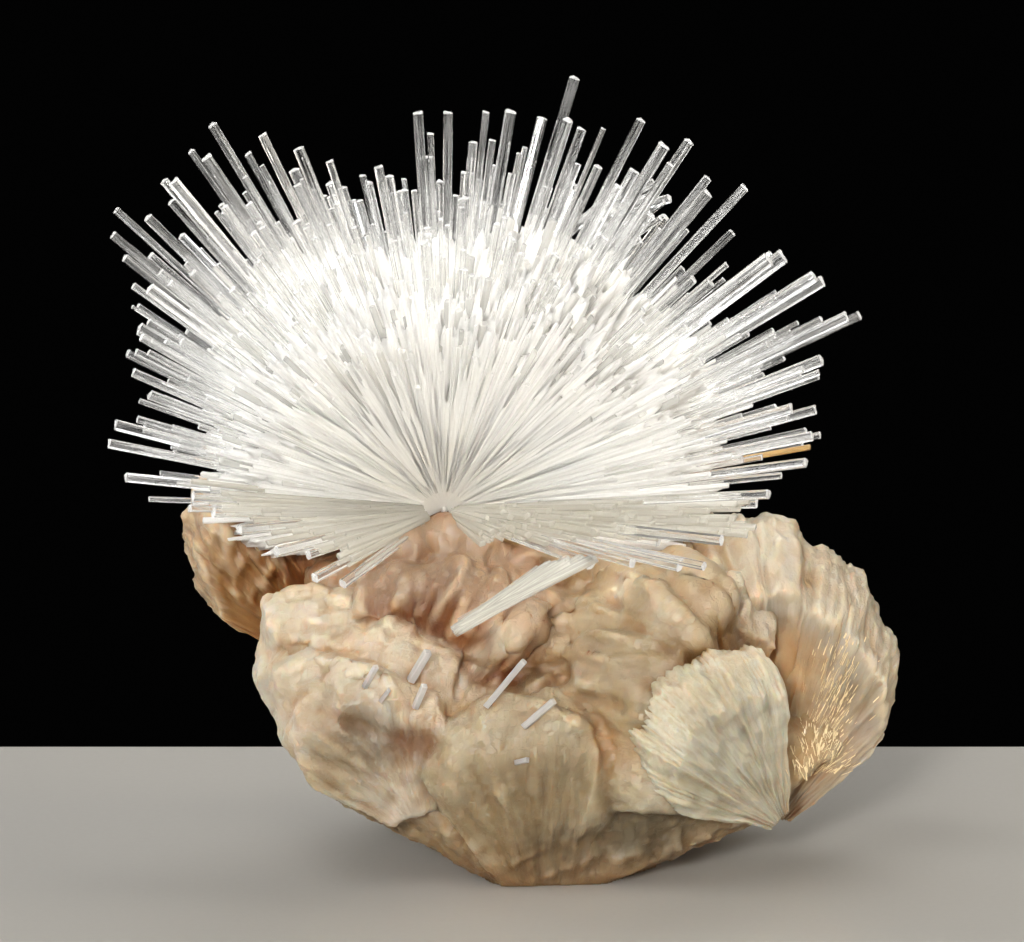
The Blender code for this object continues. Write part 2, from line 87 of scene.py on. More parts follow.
# Needles that stand clear of the rest: tip from the root (x, y, z), and width across the prism.
TALL_NEEDLES = (
    # left sweep, from the horizon upwards
    (-40.2, -22, 3.5, 1.5), (-53.7, -3, 14.5, 1.8), (-54.2, -9, 12.2, 1.6),
    (-49.2, 8, 18, 1.5), (-50.8, -2, 23, 1.6), (-52.3, 4, 25.5, 1.8),
    (-48.8, -8, 29.5, 1.7), (-50.7, 7, 33, 1.4), (-47.8, -4, 37, 2),
    (-52.3, 2, 41.5, 1.8), (-49, 12, 41, 1.8), (-53.5, -5, 45.8, 1.8),
    (-54, 6, 49, 1.5), (-48, -3, 48.5, 2), (-46.5, 11, 53.5, 1.5),
    (-43.5, -6, 54.5, 1.9), (-41.8, 9, 58.5, 1.6), (-38.3, -4, 58.3, 2.3),
    (-37.8, 3, 63.2, 2), (-32.5, 10, 58, 1.6), (-29.3, -2, 61.8, 1.8),
    (-24.8, 8, 55.5, 1.8), (-23.3, -5, 59.8, 1.7), (-18.7, 6, 53.5, 2),
    # crown
    (-13.5, 9, 54.5, 1.4), (-9, 3, 54.8, 1.7), (-4, -4, 65.5, 1.9),
    (-2.2, 7, 61.5, 1.5), (0.8, 1, 65.3, 2), (4.8, 9, 60, 1.5),
    (7, -3, 65.5, 1.4), (8, 6, 60.5, 1.6), (11, 1, 65.5, 2.4),
    (16.2, 9, 64, 1.7), (20.3, -3, 64.3, 2.2), (21.5, 4, 70.8, 2.2),
    (22.8, 12, 62, 1.6), (25.2, -4, 56.8, 1.6), (31.6, 13, 55, 1.9),
    (32.3, 2, 64, 1.9), (35.8, -6, 60.3, 2), (40.2, 3, 60.5, 2.2),
    # right sweep, from the top down to the horizon
    (43.7, 11, 54, 1.6), (43, -5, 52.5, 1.8), (49.3, 2, 53, 2.1),
    (47.8, 10, 45, 1.7), (43.3, -10, 38.5, 1.6), (53, -4, 41.8, 2.4),
    (55.9, 5, 41.5, 2.4), (60.5, -2, 38.8, 1.9), (62.5, 6, 37.3, 2.1),
    (61.3, -8, 32.3, 1.5), (66.2, 2, 31.8, 1.9), (68.8, 7, 31.5, 2),
    (52.3, -14, 29, 1.5), (61.8, -3, 25.2, 2.1), (62, 6, 21.5, 1.6),
    (56.3, -12, 18.3, 1.7), (61.2, 1, 16.5, 1.7), (60, -8, 13.3, 1.8),
    (58.7, -12, 9.5, 2), (52.2, -20, 5.5, 1.8),
    (44.5, -26, -1, 1.7), (41.7, -27, -5, 1.6),
    (38, -24, -5.6, 1.9), (30.5, -22, -5.4, 1.8), (49, -16, -1.5, 1.8),
    (24, -20, -6, 1.9), (51, -10, 2.5, 1.6), (35, -12, -3.5, 2),
    # lower left, shorter and shorter towards the matrix
    (-40, -18, 5, 1.7), (-36.7, -19, 2.4, 1.8), (-32.5, -20, -0.2, 1.9),
    (-26.7, -19, -4, 1.9), (-21.8, -14, -5.4, 1.8), (-20.8, -15, -9, 2),
    (-16.2, -16, -9.8, 1.8),
)
# Their tips as lengths and directions from the root: the other needles reach as far as these.
TIPS = np.array([needle[:3] for needle in TALL_NEEDLES])
TIP_LENGTHS = np.linalg.norm(TIPS, axis=1)
TIP_RAYS = TIPS / TIP_LENGTHS[:, None]
# The share of their widths that is drawn, and one more needle, with a stain.
SLIMNESS = 0.74
STAINED_NEEDLE = (60.5, 3, 10, 0.9)
# How far from the root needles look out for the matrix, and how clear of it a tip stays, as a
# share of the needle's width.
FIRST_CHECKED = 12
TIP_CLEARANCE = 0.6
# Needles all over the spray: how many, their share of the reach of the tall ones, their widths,
# the share of its length at which each starts, and how many degrees they keep behind the wall.
CLEAR_NEEDLES = (400, (0.76, 1.0), (0.6, 1.3), 0.55, 11)
FROSTED_NEEDLES = (420, (0.62, 0.80), (0.5, 1.1), 0.52, 7)
MILKY_NEEDLES = (900, (0.58, 0.74), (0.5, 1.1), 0.52, 4)
# Needles along the wall of the hollow: how many, how near the root they start, their share of the
# reach, their widths, how many degrees behind the wall, and how far around it they lie.
WALL_NEEDLES = (260, 4, (0.5, 0.98), (0.3, 0.75), (1, 6), (-96, 96))
# Needles along the spray's lower edge, from beside the root to its far end: how many, the share
# of them on the right, the line of their tips on the right and on the left, from the root, how
# far behind and above it tips lie, how much farther or nearer, and their widths and start.
APRON_COUNT = 330
APRON_RIGHT_SHARE = 0.68
APRON_RIGHT = (Vector((6, -19, -3)), Vector((50, -18, -1.5)))
APRON_LEFT = (Vector((-14, -16, -8)), Vector((-40, -18, 2.5)))
APRON_BEHIND = (-2, 8)
APRON_ABOVE = (-0.5, 5.5)
APRON_REACH = (0.86, 1.03)
APRON_WIDTHS = (0.5, 1.1)
APRON_START = 4
# Needles that cross the others behind the crown: how many, the box that their middles are in, the
# ways that they run, half their lengths, and their widths.
JUMBLE_COUNT = 16
JUMBLE_BOX = ((6, 18), (2, 14), (103, 113))
JUMBLE_RUNS = ((0.5, 1.0), (-0.4, 0.4), (0.1, 0.8))
JUMBLE_HALVES = (3.5, 7)
JUMBLE_WIDTHS = (0.8, 1.4)
# Square prisms to be copied, as shares of their width: how much of their corners is cut, and how
# far in and how high their bevelled ends run.
PRISM = (0.16, 0.16, 0.12)
SHORT_PRISM = (0.12, 0.12, 0.1)
BLADE = (0.1, 0.1, 0.2)
SLIVER = (0.15, 0.2, 0.3)

# The small sheaf in front: its foot seen from the front (x, z), the way it runs to its tip, how
# many blades it has, how far they spread in all, in degrees, how far from the foot they start,
# and their widths.
SHEAF_SEAT = (-15.4, 43.4)
SHEAF_RUN = Vector((21.6, -15, 16.2))
SHEAF_BLADES = 11
SHEAF_SPREAD = 7.2
SHEAF_STARTS = (0, 4)
SHEAF_WIDTHS = (0.7, 1.1)
# Short single prisms: where each stands, seen from the front (x, z), its run, and its width.
SINGLE_NEEDLES = (
    ((-29.8, 35.2), (1.9, -1.5, 3.6), 0.9), ((-27, 33.1), (1.4, -1, 2), 0.7),
    ((-21.6, 31.8), (1.6, -1.8, 4), 0.9), ((-22.6, 35.4), (2.9, -2.2, 5.2), 1.1),
    ((-10, 31.9), (6, -3.5, 8), 1), ((-4.1, 29), (4.7, -2.5, 4.7), 1),
    ((-5.4, 23.5), (2, -1, 0.7), 0.8),
)

# Stilbite sheaves, as in the solids: blades fan out from a hinge about an aim, face is the way
# their flat side looks, reach lists their lengths across the fan, from left to right.
Fan = namedtuple("Fan", "name hinge aim face spread depth reach root blades layers tooth ridge")
FANS = (
    Fan("right", (37.5, 2, 8), (0.29, 0, 0.96), (0.1, -1, 0.05), 30, 17,
        (48, 51, 45, 36, 22), (3, 5), 10, 2, 0.035, 0.04),
    Fan("right_inner", (27, -5, 20), (-0.15, -0.2, 0.97), (0.1, -1, 0.2), 22, 15,
        (25, 31, 33, 32, 27), (4, 5), 5, 2, 0.06, 0.05),
    Fan("centre", (31, -7, 15), (-0.70, -0.42, 0.58), (0.7, -0.7, 0), 30, 19,
        (25, 33, 39, 41, 40), (5, 5), 6, 3, 0.05, 0.05),
    Fan("silky", (37, -14, 11), (-0.50, -0.52, 0.67), (0.3, -0.9, -0.1), 27, 8,
        (25, 35, 39, 37, 30), (2, 2), 6, 1, 0.07, 0.2),
    Fan("pocket", (-19, -12, 30), (0.2, -0.12, 0.97), (-0.1, -1, 0.35), 30, 12,
        (22, 24, 26, 25, 22), (6, 4), 5, 1, 0.10, 0.1),
    Fan("left_back", (-24, -8, 13), (-0.24, -0.14, 0.96), (-0.1, -1, 0.2), 34, 7,
        (27, 40, 37, 34, 34), (4, 4), 5, 1, 0.04, 0.08),
    Fan("left_middle", (-23, -14, 12), (-0.34, -0.14, 0.92), (-0.15, -1, 0.2), 29, 6,
        (24, 35, 33, 32, 28), (4, 4), 4, 1, 0.04, 0.08),
    Fan("left_front", (-22, -18, 13), (-0.42, -0.25, 0.86), (-0.25, -1, 0.25), 32, 6,
        (18, 29, 29, 25, 19), (4, 4), 4, 1, 0.04, 0.08),
    Fan("left_top", (-36, 5, 35), (-0.42, -0.02, 0.91), (-0.1, -1, 0.1), 38, 15,
        (18, 32, 38, 33, 24, 18, 15), (4, 5), 7, 2, 0.08, 0.08),
    Fan("keel", (-1, -14, -3), (-0.09, -0.33, 0.94), (0.1, -1, -0.3), 28, 7,
        (32, 38, 40, 37, 28), (4, 3), 5, 1, 0.04, 0.05),
    Fan("left_side", (-16, 2, 18), (-0.88, 0.22, 0.42), (-0.3, 0.1, 1), 34, 24,
        (17, 23, 27, 28, 25), (5, 5), 5, 1, 0.05, 0.06),
    Fan("back_left", (-14, 8, 22), (-0.50, 0.78, 0.37), (0.1, 0, 1), 36, 25,
        (28, 31, 33, 32, 28), (5, 5), 5, 2, 0.06, 0.06),
    Fan("back_right", (15, 8, 20), (0.50, 0.80, 0.33), (-0.15, 0, 1), 36, 24,
        (28, 32, 34, 32, 28), (5, 5), 6, 2, 0.06, 0.06),
    Fan("back_top", (1, 4, 24), (0, 0.70, 0.71), (0.05, -1, 1), 48, 12,
        (27, 31, 34, 32, 28), (6, 5), 6, 1, 0.06, 0.06),
)
# How much shorter a fan is at its flat sides, how uneven its blades are in length, how far they
# shift sideways as a share of their pitch, and how much the ridges between them differ.
FAN_ROUNDING = 0.16
FAN_UNEVEN = 0.04
BLADE_SHIFT = 0.32
RIDGE_RANGE = (0.2, 1.7)
# How many random steps there are to draw from where the blades of a sheaf end.
END_STEPS = 400
# How each sheaf is dressed: points across, through and out; soft waves of its outer end and how
# deep they are; fine teeth and their depth; how much of the solid's furrows it keeps; swell of
# its flat sides; its colours; and whether it melts into the matrix or keeps its own sharp edge.
Dress = namedtuple("Dress", "cuts waves wave teeth tooth furrow swell tints melts")
DRESS = {
    "right": Dress((99, 34, 44), 4, 1.2, 30, 1.5, 0.2, 1.5, "blush", False),
    "right_inner": Dress((40, 20, 24), 3, 1.6, 16, 0.6, 0.5, 1.4, "blush", True),
    "centre": Dress((48, 32, 20), 3, 1.2, 6, 0.2, 0, 1.2, "dome", True),
    "silky": Dress((99, 20, 70), 3, 1.2, 34, 1.8, 0.3, 0.6, "silky", False),
    "pocket": Dress((40, 12, 24), 4, 1.6, 12, 0.8, 0.5, 1.4, "pocket", True),
    "left_back": Dress((48, 12, 30), 3, 1.6, 5, 0.2, 0.1, 1.2, "cream", True),
    "left_middle": Dress((48, 12, 30), 3, 1.6, 5, 0.2, 0.1, 1.2, "cream", True),
    "left_front": Dress((48, 12, 30), 3, 1.6, 5, 0.2, 0, 1.8, "cream", True),
    "left_top": Dress((96, 26, 36), 4, 1.2, 28, 2.2, 0.5, 1, "leaf", False),
    "keel": Dress((48, 12, 36), 2, 1, 6, 0.3, 0, 1.4, "keel", True),
    "left_side": Dress((40, 28, 16), 4, 1.4, 16, 0.6, 0.6, 1, "cream", True),
    "back_left": Dress((40, 30, 16), 4, 1.4, 16, 0.6, 0.6, 1, "blush", True),
    "back_right": Dress((40, 30, 16), 4, 1.4, 16, 0.6, 0.6, 1, "blush", True),
    "back_top": Dress((48, 18, 20), 4, 1.4, 16, 0.6, 0.6, 1, "keel", True),
}

# Crests and creases of the matrix: half width, height (a crease is below 0), and the line that
# each follows, as pixels of the photograph's frame. They lie on whatever surface is seen there.
CRESTS = (
    # ledges on the left, with creases under them
    (2, 1.9, ((250, 606), (287, 597), (313, 592), (337, 605), (370, 612), (388, 628))),
    (1.6, 0.9, ((254, 628), (303, 619), (337, 625), (372, 636))),
    (1.9, -2.2, ((256, 654), (303, 645), (348, 650), (370, 662))),
    (2, 2.2, ((258, 678), (298, 668), (316, 659), (353, 670), (381, 682), (394, 700), (409, 722),
           (414, 740))),
    (2.6, -1.2, ((292, 708), (322, 710), (353, 724), (380, 746), (396, 762))),
    # the thick rounded edge behind the dome, and a crease before it
    (2.1, 2.6, ((592, 584), (604, 575), (622, 572), (643, 594), (673, 618), (703, 643), (718, 661))),
    (2, -1.4, ((590, 606), (616, 602), (640, 626), (668, 648), (690, 664))),
    # soft level crests of the dome
    (1.7, 1.2, ((538, 607), (568, 599), (593, 606), (616, 620))),
    (1.8, 1.3, ((523, 635), (558, 626), (593, 634), (638, 650))),
    (1.7, 1.1, ((530, 664), (566, 656), (600, 658), (640, 672))),
    (1.8, 1.2, ((548, 692), (588, 684), (623, 676), (650, 690))),
    # the keel's top edge and right edge
    (1.5, 1.5, ((470, 706), (503, 698), (543, 706), (588, 730), (598, 756), (593, 786), (573, 848))),
    (1.9, -1.5, ((520, 690), (556, 700), (598, 722), (610, 752), (604, 790))),
    # blades side by side in the recess, leaning to the right, and upright ones at its left
    (1.4, 0.8, ((388, 614), (404, 592), (418, 568))), (1.8, 1, ((424, 608), (438, 584), (450, 562))),
    (1.4, 0.7, ((456, 604), (470, 582), (483, 562))), (1.8, 0.9, ((434, 652), (452, 630), (466, 612))),
    (1.5, 0.8, ((472, 656), (490, 634), (506, 612))), (1.7, 0.9, ((510, 640), (524, 620), (538, 600))),
    (1.5, 0.9, ((330, 580), (336, 562), (338, 548))), (1.5, 0.8, ((360, 590), (370, 570), (376, 552))),
    # rolls on the right sheaf's inner side
    (2.4, 1.4, ((660, 548), (684, 566), (706, 590), (722, 616))),
    (2, 1.1, ((716, 540), (734, 566), (744, 596))),
)
# Steps along such a line and how far it wavers, in pixels.
LINE_STEP = 4
LINE_WAVER = 4
# Ripples, each over the part of the matrix around a pixel: radius, how steeply they run in the
# picture in degrees, length and pitch of a ripple, and how deep they are.
RIPPLES = (
    # soft level ripples of the dome
    ((600, 650), 19, -8, 14, 3.4, 0.8),
    # bundles of blades in the recess, leaning to the right, and upright ones under the left sheaf
    ((470, 615), 14, 52, 11, 3.4, 0.8), ((390, 600), 10, 60, 9, 3.2, 0.8),
    ((535, 650), 11, 40, 11, 3.4, 0.8),
    ((255, 545), 13, 100, 10, 3, 1.2), ((545, 590), 9, 35, 9, 3, 1.1),
    # lobes beside the right sheaf, ledges, and the fracture at the lower left
    ((700, 590), 10, -50, 12, 4.5, 1), ((310, 645), 13, 4, 22, 3.6, 0.6),
    ((360, 760), 12, -28, 12, 2.6, 0.5),
    # splintered skirt at the lower right
    ((650, 830), 17, 14, 18, 3.6, 0.4), ((560, 860), 12, 24, 14, 3.4, 0.35),
)
# Parts of the matrix with a look of their own, or with painted shade or highlights: the pixel
# where each is seen, radius, tint, how strongly it is tinted, and how far the surface is raised there.
PATCHES = (
    # Painted shade over the lower left face, which looks down: its own greenish colour is darkened
    # there, and the keel patch under it darkens it too.
    ((336, 716), 9, "shaded_grey", 0.35, 0), ((378, 742), 9, "shaded_grey", 0.45, 0),
    ((330, 770), 9, "keel", 0.8, 0.4),
    ((412, 742), 6, "pocket", 0.6, -0.8), ((780, 672), 12, "honey", 0.8, -0.8),
    ((770, 720), 12, "honey", 0.7, -0.6), ((810, 750), 12, "honey", 0.6, 0),
    ((672, 566), 9, "lobe", 0.7, 1), ((706, 590), 9, "lobe", 0.7, 0.8),
    ((620, 575), 6, "honey", 0.5, 0), ((430, 570), 13, "pocket", 0.8, 0),
    ((330, 565), 12, "pocket", 0.7, 0), ((480, 640), 10, "pocket", 0.6, 0),
    ((545, 600), 8, "pocket", 0.6, 0), ((545, 670), 8, "dome", 0.7, 0),
    # Painted shade: the broken tint darkens the splintered skirt at the lower right, a pale fracture
    # that looks down.
    ((620, 745), 8, "honey", 0.4, -0.4), ((650, 825), 14, "broken", 0.8, 0),
    ((560, 850), 12, "broken", 0.5, 0), ((460, 830), 12, "keel", 0.6, 0),
    ((520, 770), 9, "keel", 0.7, 0.8), ((505, 640), 4.5, "silky", 0.7, 0.4),
    ((482, 660), 4, "silky", 0.6, 0.3), ((640, 800), 7, "silky", 0.5, 0),
    # Painted highlights: cream on the thick rounded edge behind the dome, and a pale silky tint on the
    # crests of the ledges on the left.
    ((622, 590), 5, "cream", 0.8, 0), ((660, 616), 5, "cream", 0.6, 0),
    ((280, 602), 5, "silky", 0.5, 0), ((330, 606), 5, "silky", 0.5, 0),
    ((292, 670), 5, "silky", 0.5, 0), ((350, 674), 5, "silky", 0.5, 0),
)
# Corners of the band of glints on the right sheaf, as pixels, how many slivers it has, their
# lengths and widths, how high their middles stand over the flank, and how much they tilt.
GLINT_BAND = ((822, 622), (866, 640), (846, 774), (796, 774))
GLINT_COUNT = 460
GLINT_LENGTHS = (0.4, 2.6)
GLINT_WIDTHS = (0.05, 0.14)
GLINT_HEIGHTS = (-0.03, 0.05)
GLINT_TILTS = (-0.05, 0.12)
# Lumps of matrix: centres and radii. The first are the floor of the recess in front, the others
# the rounded arch that the root stands on, and its back.
LUMPS = (
    (-3, -12, 38, 7.5), (-0.5, -10, 43, 7.5), (-1, -8, 47.5, 6.5), (0.3, -13, 33.5, 7.5),
    (-5, -13, 33, 7), (3, -14, 38, 7), (-8, -8, 49, 6.5), (-8, -17, 31.5, 6),
    (-13, -17, 33, 5.5), (-14.5, -17, 28.5, 6.5), (-3, -17, 31, 6.5),
    (-17, -11.5, 57.2, 4.2), (-12, -11, 55.8, 4), (-22.5, -11, 55.4, 4),
    (-30, -6, 49.5, 5), (-24, -8, 51.5, 5.4), (-17.5, -9, 52.5, 5.6), (-11, -9, 52, 5.4),
    (-4, -8, 51, 5.2), (3, -8, 50.5, 5), (11, -7, 50.5, 5), (19, -6, 50, 5),
    (-36, -4, 48, 4.6), (-18, -4, 54, 6), (-8, -3, 53, 6),
    (-32, 3, 50, 7), (-24, 6, 51.5, 8), (-15, 7, 52.5, 8.5), (-6, 7, 52.5, 8.5),
    (3, 6, 52, 8.5), (12, 6, 52, 8), (21, 5, 51.5, 7.5), (30, 4, 51, 7),
    (-20, 15, 50.5, 8), (-9, 17, 51, 8.5), (2, 17, 51.5, 8.5), (13, 16, 51, 8.5),
    (24, 14, 50.5, 8), (34, 10, 50, 7),
)

# Corners of the broken rock that the sheaves grow from. The first six, at height 0, are the foot.
HEART = (
    (-8, -18, 0), (8, -18, 0), (17, -6, 0), (15, 17, 0), (-10, 19, 0), (-16, 2, 0),
    (-17, -14, 4), (-29, -12, 11), (-38, -7, 13), (-42, -5, 21), (-47, -4, 30), (-48, 0, 44),
    (20, -15, 5), (33, -11, 8), (42, -8, 15), (51, -6, 23), (56, -2, 29),
    (8, -25, 19), (21, -23, 17), (36, -16, 12), (-26, -20, 22), (-16, -20, 10), (-30, -16, 15),
    (-38, 14, 20), (-25, 24, 18), (-9, 30, 14), (15, 30, 12), (32, 21, 16), (44, 12, 26),
    (-42, 15, 42), (-22, 27, 40), (0, 33, 36), (24, 28, 40), (42, 14, 44),
    (-34, 10, 50), (-10, 22, 52), (18, 20, 52), (36, 8, 50),
    (-30, -9, 41), (-16, -8, 54), (6, -6, 52), (28, -8, 44),
)
# The melted matrix: size of its mesh, rounds of smoothing, and how low the flat foot reaches. Then
# how deep the rock is broken, and the size of the lumps that it breaks in.
BODY_GRAIN = 0.64
BODY_SMOOTHING = 4
ROCK_GRAIN = 2
FOOT_HEIGHT = 0.6
BREAK_DEPTH = 0.8
BREAK_SIZE = 11
# How rough the sheaves break, against 1 for the rock, and how much a raised crest counts as one.
SHEAF_ROUGHNESS = 0.12
RELIEF_SHARE = 0.13

# Pale and warm colour of each kind of stilbite: thin and lit, thick and deep. The broken tint and
# the dark greenish tint are painted shade for faces that look down (the skirt is a pale fracture),
# and the pocket tint deepens the recess under the spray with painted shade over its own orange.
TINTS = {
    "blush": ("#AEA699", "#96856C"),
    "dome": ("#846C41", "#6F5029"),
    "silky": ("#C2BEAD", "#9C947C"),
    "pocket": ("#85562C", "#673616"),
    "cream": ("#C3BBAC", "#AA9275"),
    "leaf": ("#927044", "#79532A"),
    "keel": ("#9A8A6D", "#7F6A4B"),
    "broken": ("#5E5644", "#493F2D"),
    "honey": ("#C1A273", "#A98051"),
    "lobe": ("#917148", "#7A5932"),
    "shaded_grey": ("#4A473B", "#363227"),
}
TONES = ("pale", "warm")
# What is kept for each point, with how many numbers it has, and how Blender stores such a row.
ATTRIBUTES = {"grain": 3, "rim": 1, "rough": 1, "relief": 1, "crest": 1, "pale": 4, "warm": 4}
STORED_AS = {1: ("FLOAT", "value"), 3: ("FLOAT_VECTOR", "vector"), 4: ("FLOAT_COLOR", "color")}


def linear(code):
    """The linear colour of an sRGB hex code."""
    values = [int(code[i:i + 2], 16) / 255 for i in (1, 3, 5)]
    return (*[v / 12.92 if v <= 0.04045 else ((v + 0.055) / 1.055) ** 2.4 for v in values], 1)


# Making meshes

def settle(obj, name):
    """Names a finished piece and lets it ride on the specimen."""
    obj.name = name
    obj.data.name = name
    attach(obj, "root")
    return obj


def fresh(name, points, faces):
    """A new mesh object of these points, given in millimetres, and faces."""
    mesh = bpy.data.meshes.new(name)
    mesh.from_pydata(np.asarray(points) * MM, [], faces)
    mesh.update()
    obj = bpy.data.objects.new(name, mesh)
    bpy.context.scene.collection.objects.link(obj)
    return obj


def set_all(thing, **values):
    """Sets several properties of one thing."""
    for name, value in values.items():
        setattr(thing, name, value)


def only(obj):
    """Makes this object the only one that is selected and active."""
    bpy.ops.object.select_all(action="DESELECT")
    obj.select_set(True)
    bpy.context.view_layer.objects.active = obj


def edit(obj, step, kind="VERT", chosen=None, **settings):
    """Does one step in edit mode, to the edges or faces whose flags are given, or else to all."""
    only(obj)
    bpy.ops.object.mode_set(mode="EDIT")
    bpy.ops.mesh.select_mode(type=kind)
    bpy.ops.mesh.select_all(action="SELECT" if chosen is None else "DESELECT")
    if chosen is not None:
        bpy.ops.object.mode_set(mode="OBJECT")
        items = obj.data.edges if kind == "EDGE" else obj.data.polygons
        items.foreach_set("select", chosen)
        bpy.ops.object.mode_set(mode="EDIT")
    step(**settings)
    bpy.ops.object.mode_set(mode="OBJECT")


def read(items, field, size, kind=float):
    """One field of all the items of a mesh, a row each."""
    values = np.empty(len(items) * size, dtype=kind)
    items.foreach_get(field, values)
    return values.reshape(-1, size) if size > 1 else values


def points_of(obj):
    """The points of a mesh, one row each, in the mesh's own unit."""
    return read(obj.data.vertices, "co", 3)


def normals_of(obj):
    """The direction in which the surface looks at each point."""
    return read(obj.data.vertices, "normal", 3)


def edges_of(obj):
    """The numbers of the two points of each edge."""
    return read(obj.data.edges, "vertices", 2, np.int32)


def faces_of(obj, start=0):
    """The numbers of the points of each face, counted from start."""
    return [tuple(start + v for v in p.vertices) for p in obj.data.polygons]


def put_points(obj, points):
    """Moves the points of a mesh to these places, in its own unit."""
    obj.data.vertices.foreach_set("co", np.asarray(points).ravel())
    obj.data.update()


def push_out(obj, relief, fade=0, flat=0):
    """Moves each point along its normal by its relief in millimetres. With a fade, the relief
    dies away this near the foot, and the points that were lower than flat stay on its plane."""
    points = points_of(obj) / MM
    height = points[:, 2].copy()
    if fade:
        relief = relief * smoothstep(0, fade, height)
    points += normals_of(obj) * relief[:, None]
    if fade:
        points[:, 2] = np.where(height < flat, 0, np.maximum(points[:, 2], 0))
    put_points(obj, points * MM)


def keep(obj, name, values):
    """Keeps a number, a vector or a colour for each point, mostly for the finish to read."""
    kind, field = STORED_AS[ATTRIBUTES[name]]
    kept = obj.data.attributes.get(name) or obj.data.attributes.new(name, kind, "POINT")
    kept.data.foreach_set(field, np.asarray(values, dtype=float).ravel())


def recall(obj, name):
    """What was kept under this name for each point."""
    size = ATTRIBUTES[name]
    return read(obj.data.attributes[name].data, STORED_AS[size][1], size)


def keep_tints(obj, kind):
    """Gives all points the pale and the warm colour of one kind of stilbite."""
    for tone, code in zip(TONES, TINTS[kind]):
        keep(obj, tone, [linear(code)] * len(obj.data.vertices))


def smooth(obj):
    """Shades a mesh smoothly."""
    obj.data.polygons.foreach_set("use_smooth", [True] * len(obj.data.polygons))


def face_outward(obj):
    """Turns all faces of a closed mesh outward."""
    edit(obj, bpy.ops.mesh.normals_make_consistent, inside=False)


def edges_along(obj, axis):
    """A flag for each edge of a mesh: whether it runs along this axis."""
    first, second = points_of(obj)[edges_of(obj).T]
    return np.abs(first - second)[:, axis] > 1e-6


def divided_block(cuts):
    """A cube from -1 to 1 whose edges along X, Y and Z have these numbers of cuts."""
    bpy.ops.mesh.primitive_cube_add(size=2)
    block = bpy.context.object
    for axis, count in enumerate(cuts):
        edit(block, bpy.ops.mesh.subdivide, "EDGE", edges_along(block, axis), number_cuts=count)
    return block


def remesh(obj, grain):
    """Melts all that is in a mesh together, as one skin of this grain in millimetres."""
    only(obj)
    set_all(obj.modifiers.new("Remesh", "REMESH"), mode="VOXEL", voxel_size=grain * MM)
    bpy.ops.object.modifier_apply(modifier="Remesh")


def spread_out(obj, values, rounds):
    """Evens out the values of the points by their neighbours' values, this many times."""
    ends = edges_of(obj)
    flat = values.reshape(len(values), -1).astype(float)
    count = np.bincount(ends.ravel(), minlength=len(flat))[:, None]
    for _ in range(rounds):
        total = np.zeros_like(flat)
        for column in range(flat.shape[1]):
            for here, there in (ends.T, ends.T[::-1]):
                total[:, column] += np.bincount(here, flat[there, column], minlength=len(flat))
        flat = 0.3 * flat + 0.7 * total / np.maximum(count, 1)
    return flat.reshape(values.shape)


def surface_of(pieces):
    """A lookup of the surface of several pieces together, in millimetres."""
    points, faces = [], []
    for piece in pieces:
        faces.extend(faces_of(piece, len(points)))
        points.extend(points_of(piece) / MM)
    return BVHTree.FromPolygons([tuple(p) for p in points], faces)


def fractal(points, size, octaves=3):
    """Soft noise from -1 to 1 at each point, with lumps of about this size."""
    return np.array([noise.fractal(Vector(p) / size, 1.0, 2.0, octaves) for p in points])


def ridged(points, size):
    """Noise with sharp crests, for broken surfaces."""
    return np.array([noise.ridged_multi_fractal(Vector(p) / size, 0.9, 2.1, 4, 1.0, 2.0)
                     for p in points])


def crested(points):
    """Noise from about -1 to 1 with sharp crests between round valleys; its lumps are one unit."""
    return np.array([1 - 3.2 * abs(noise.noise(Vector(p))) for p in points])


def smoothstep(low, high, values):
    """A soft step from 0 at low to 1 at high."""
    share = np.clip((values - low) / (high - low), 0, 1)
    return share * share * (3 - 2 * share)


# Stilbite

def along_list(values, place):
    """Reads an evenly spaced list at places from 0 to 1, with straight lines between."""
    return np.interp(place, np.linspace(0, 1, len(values)), values)


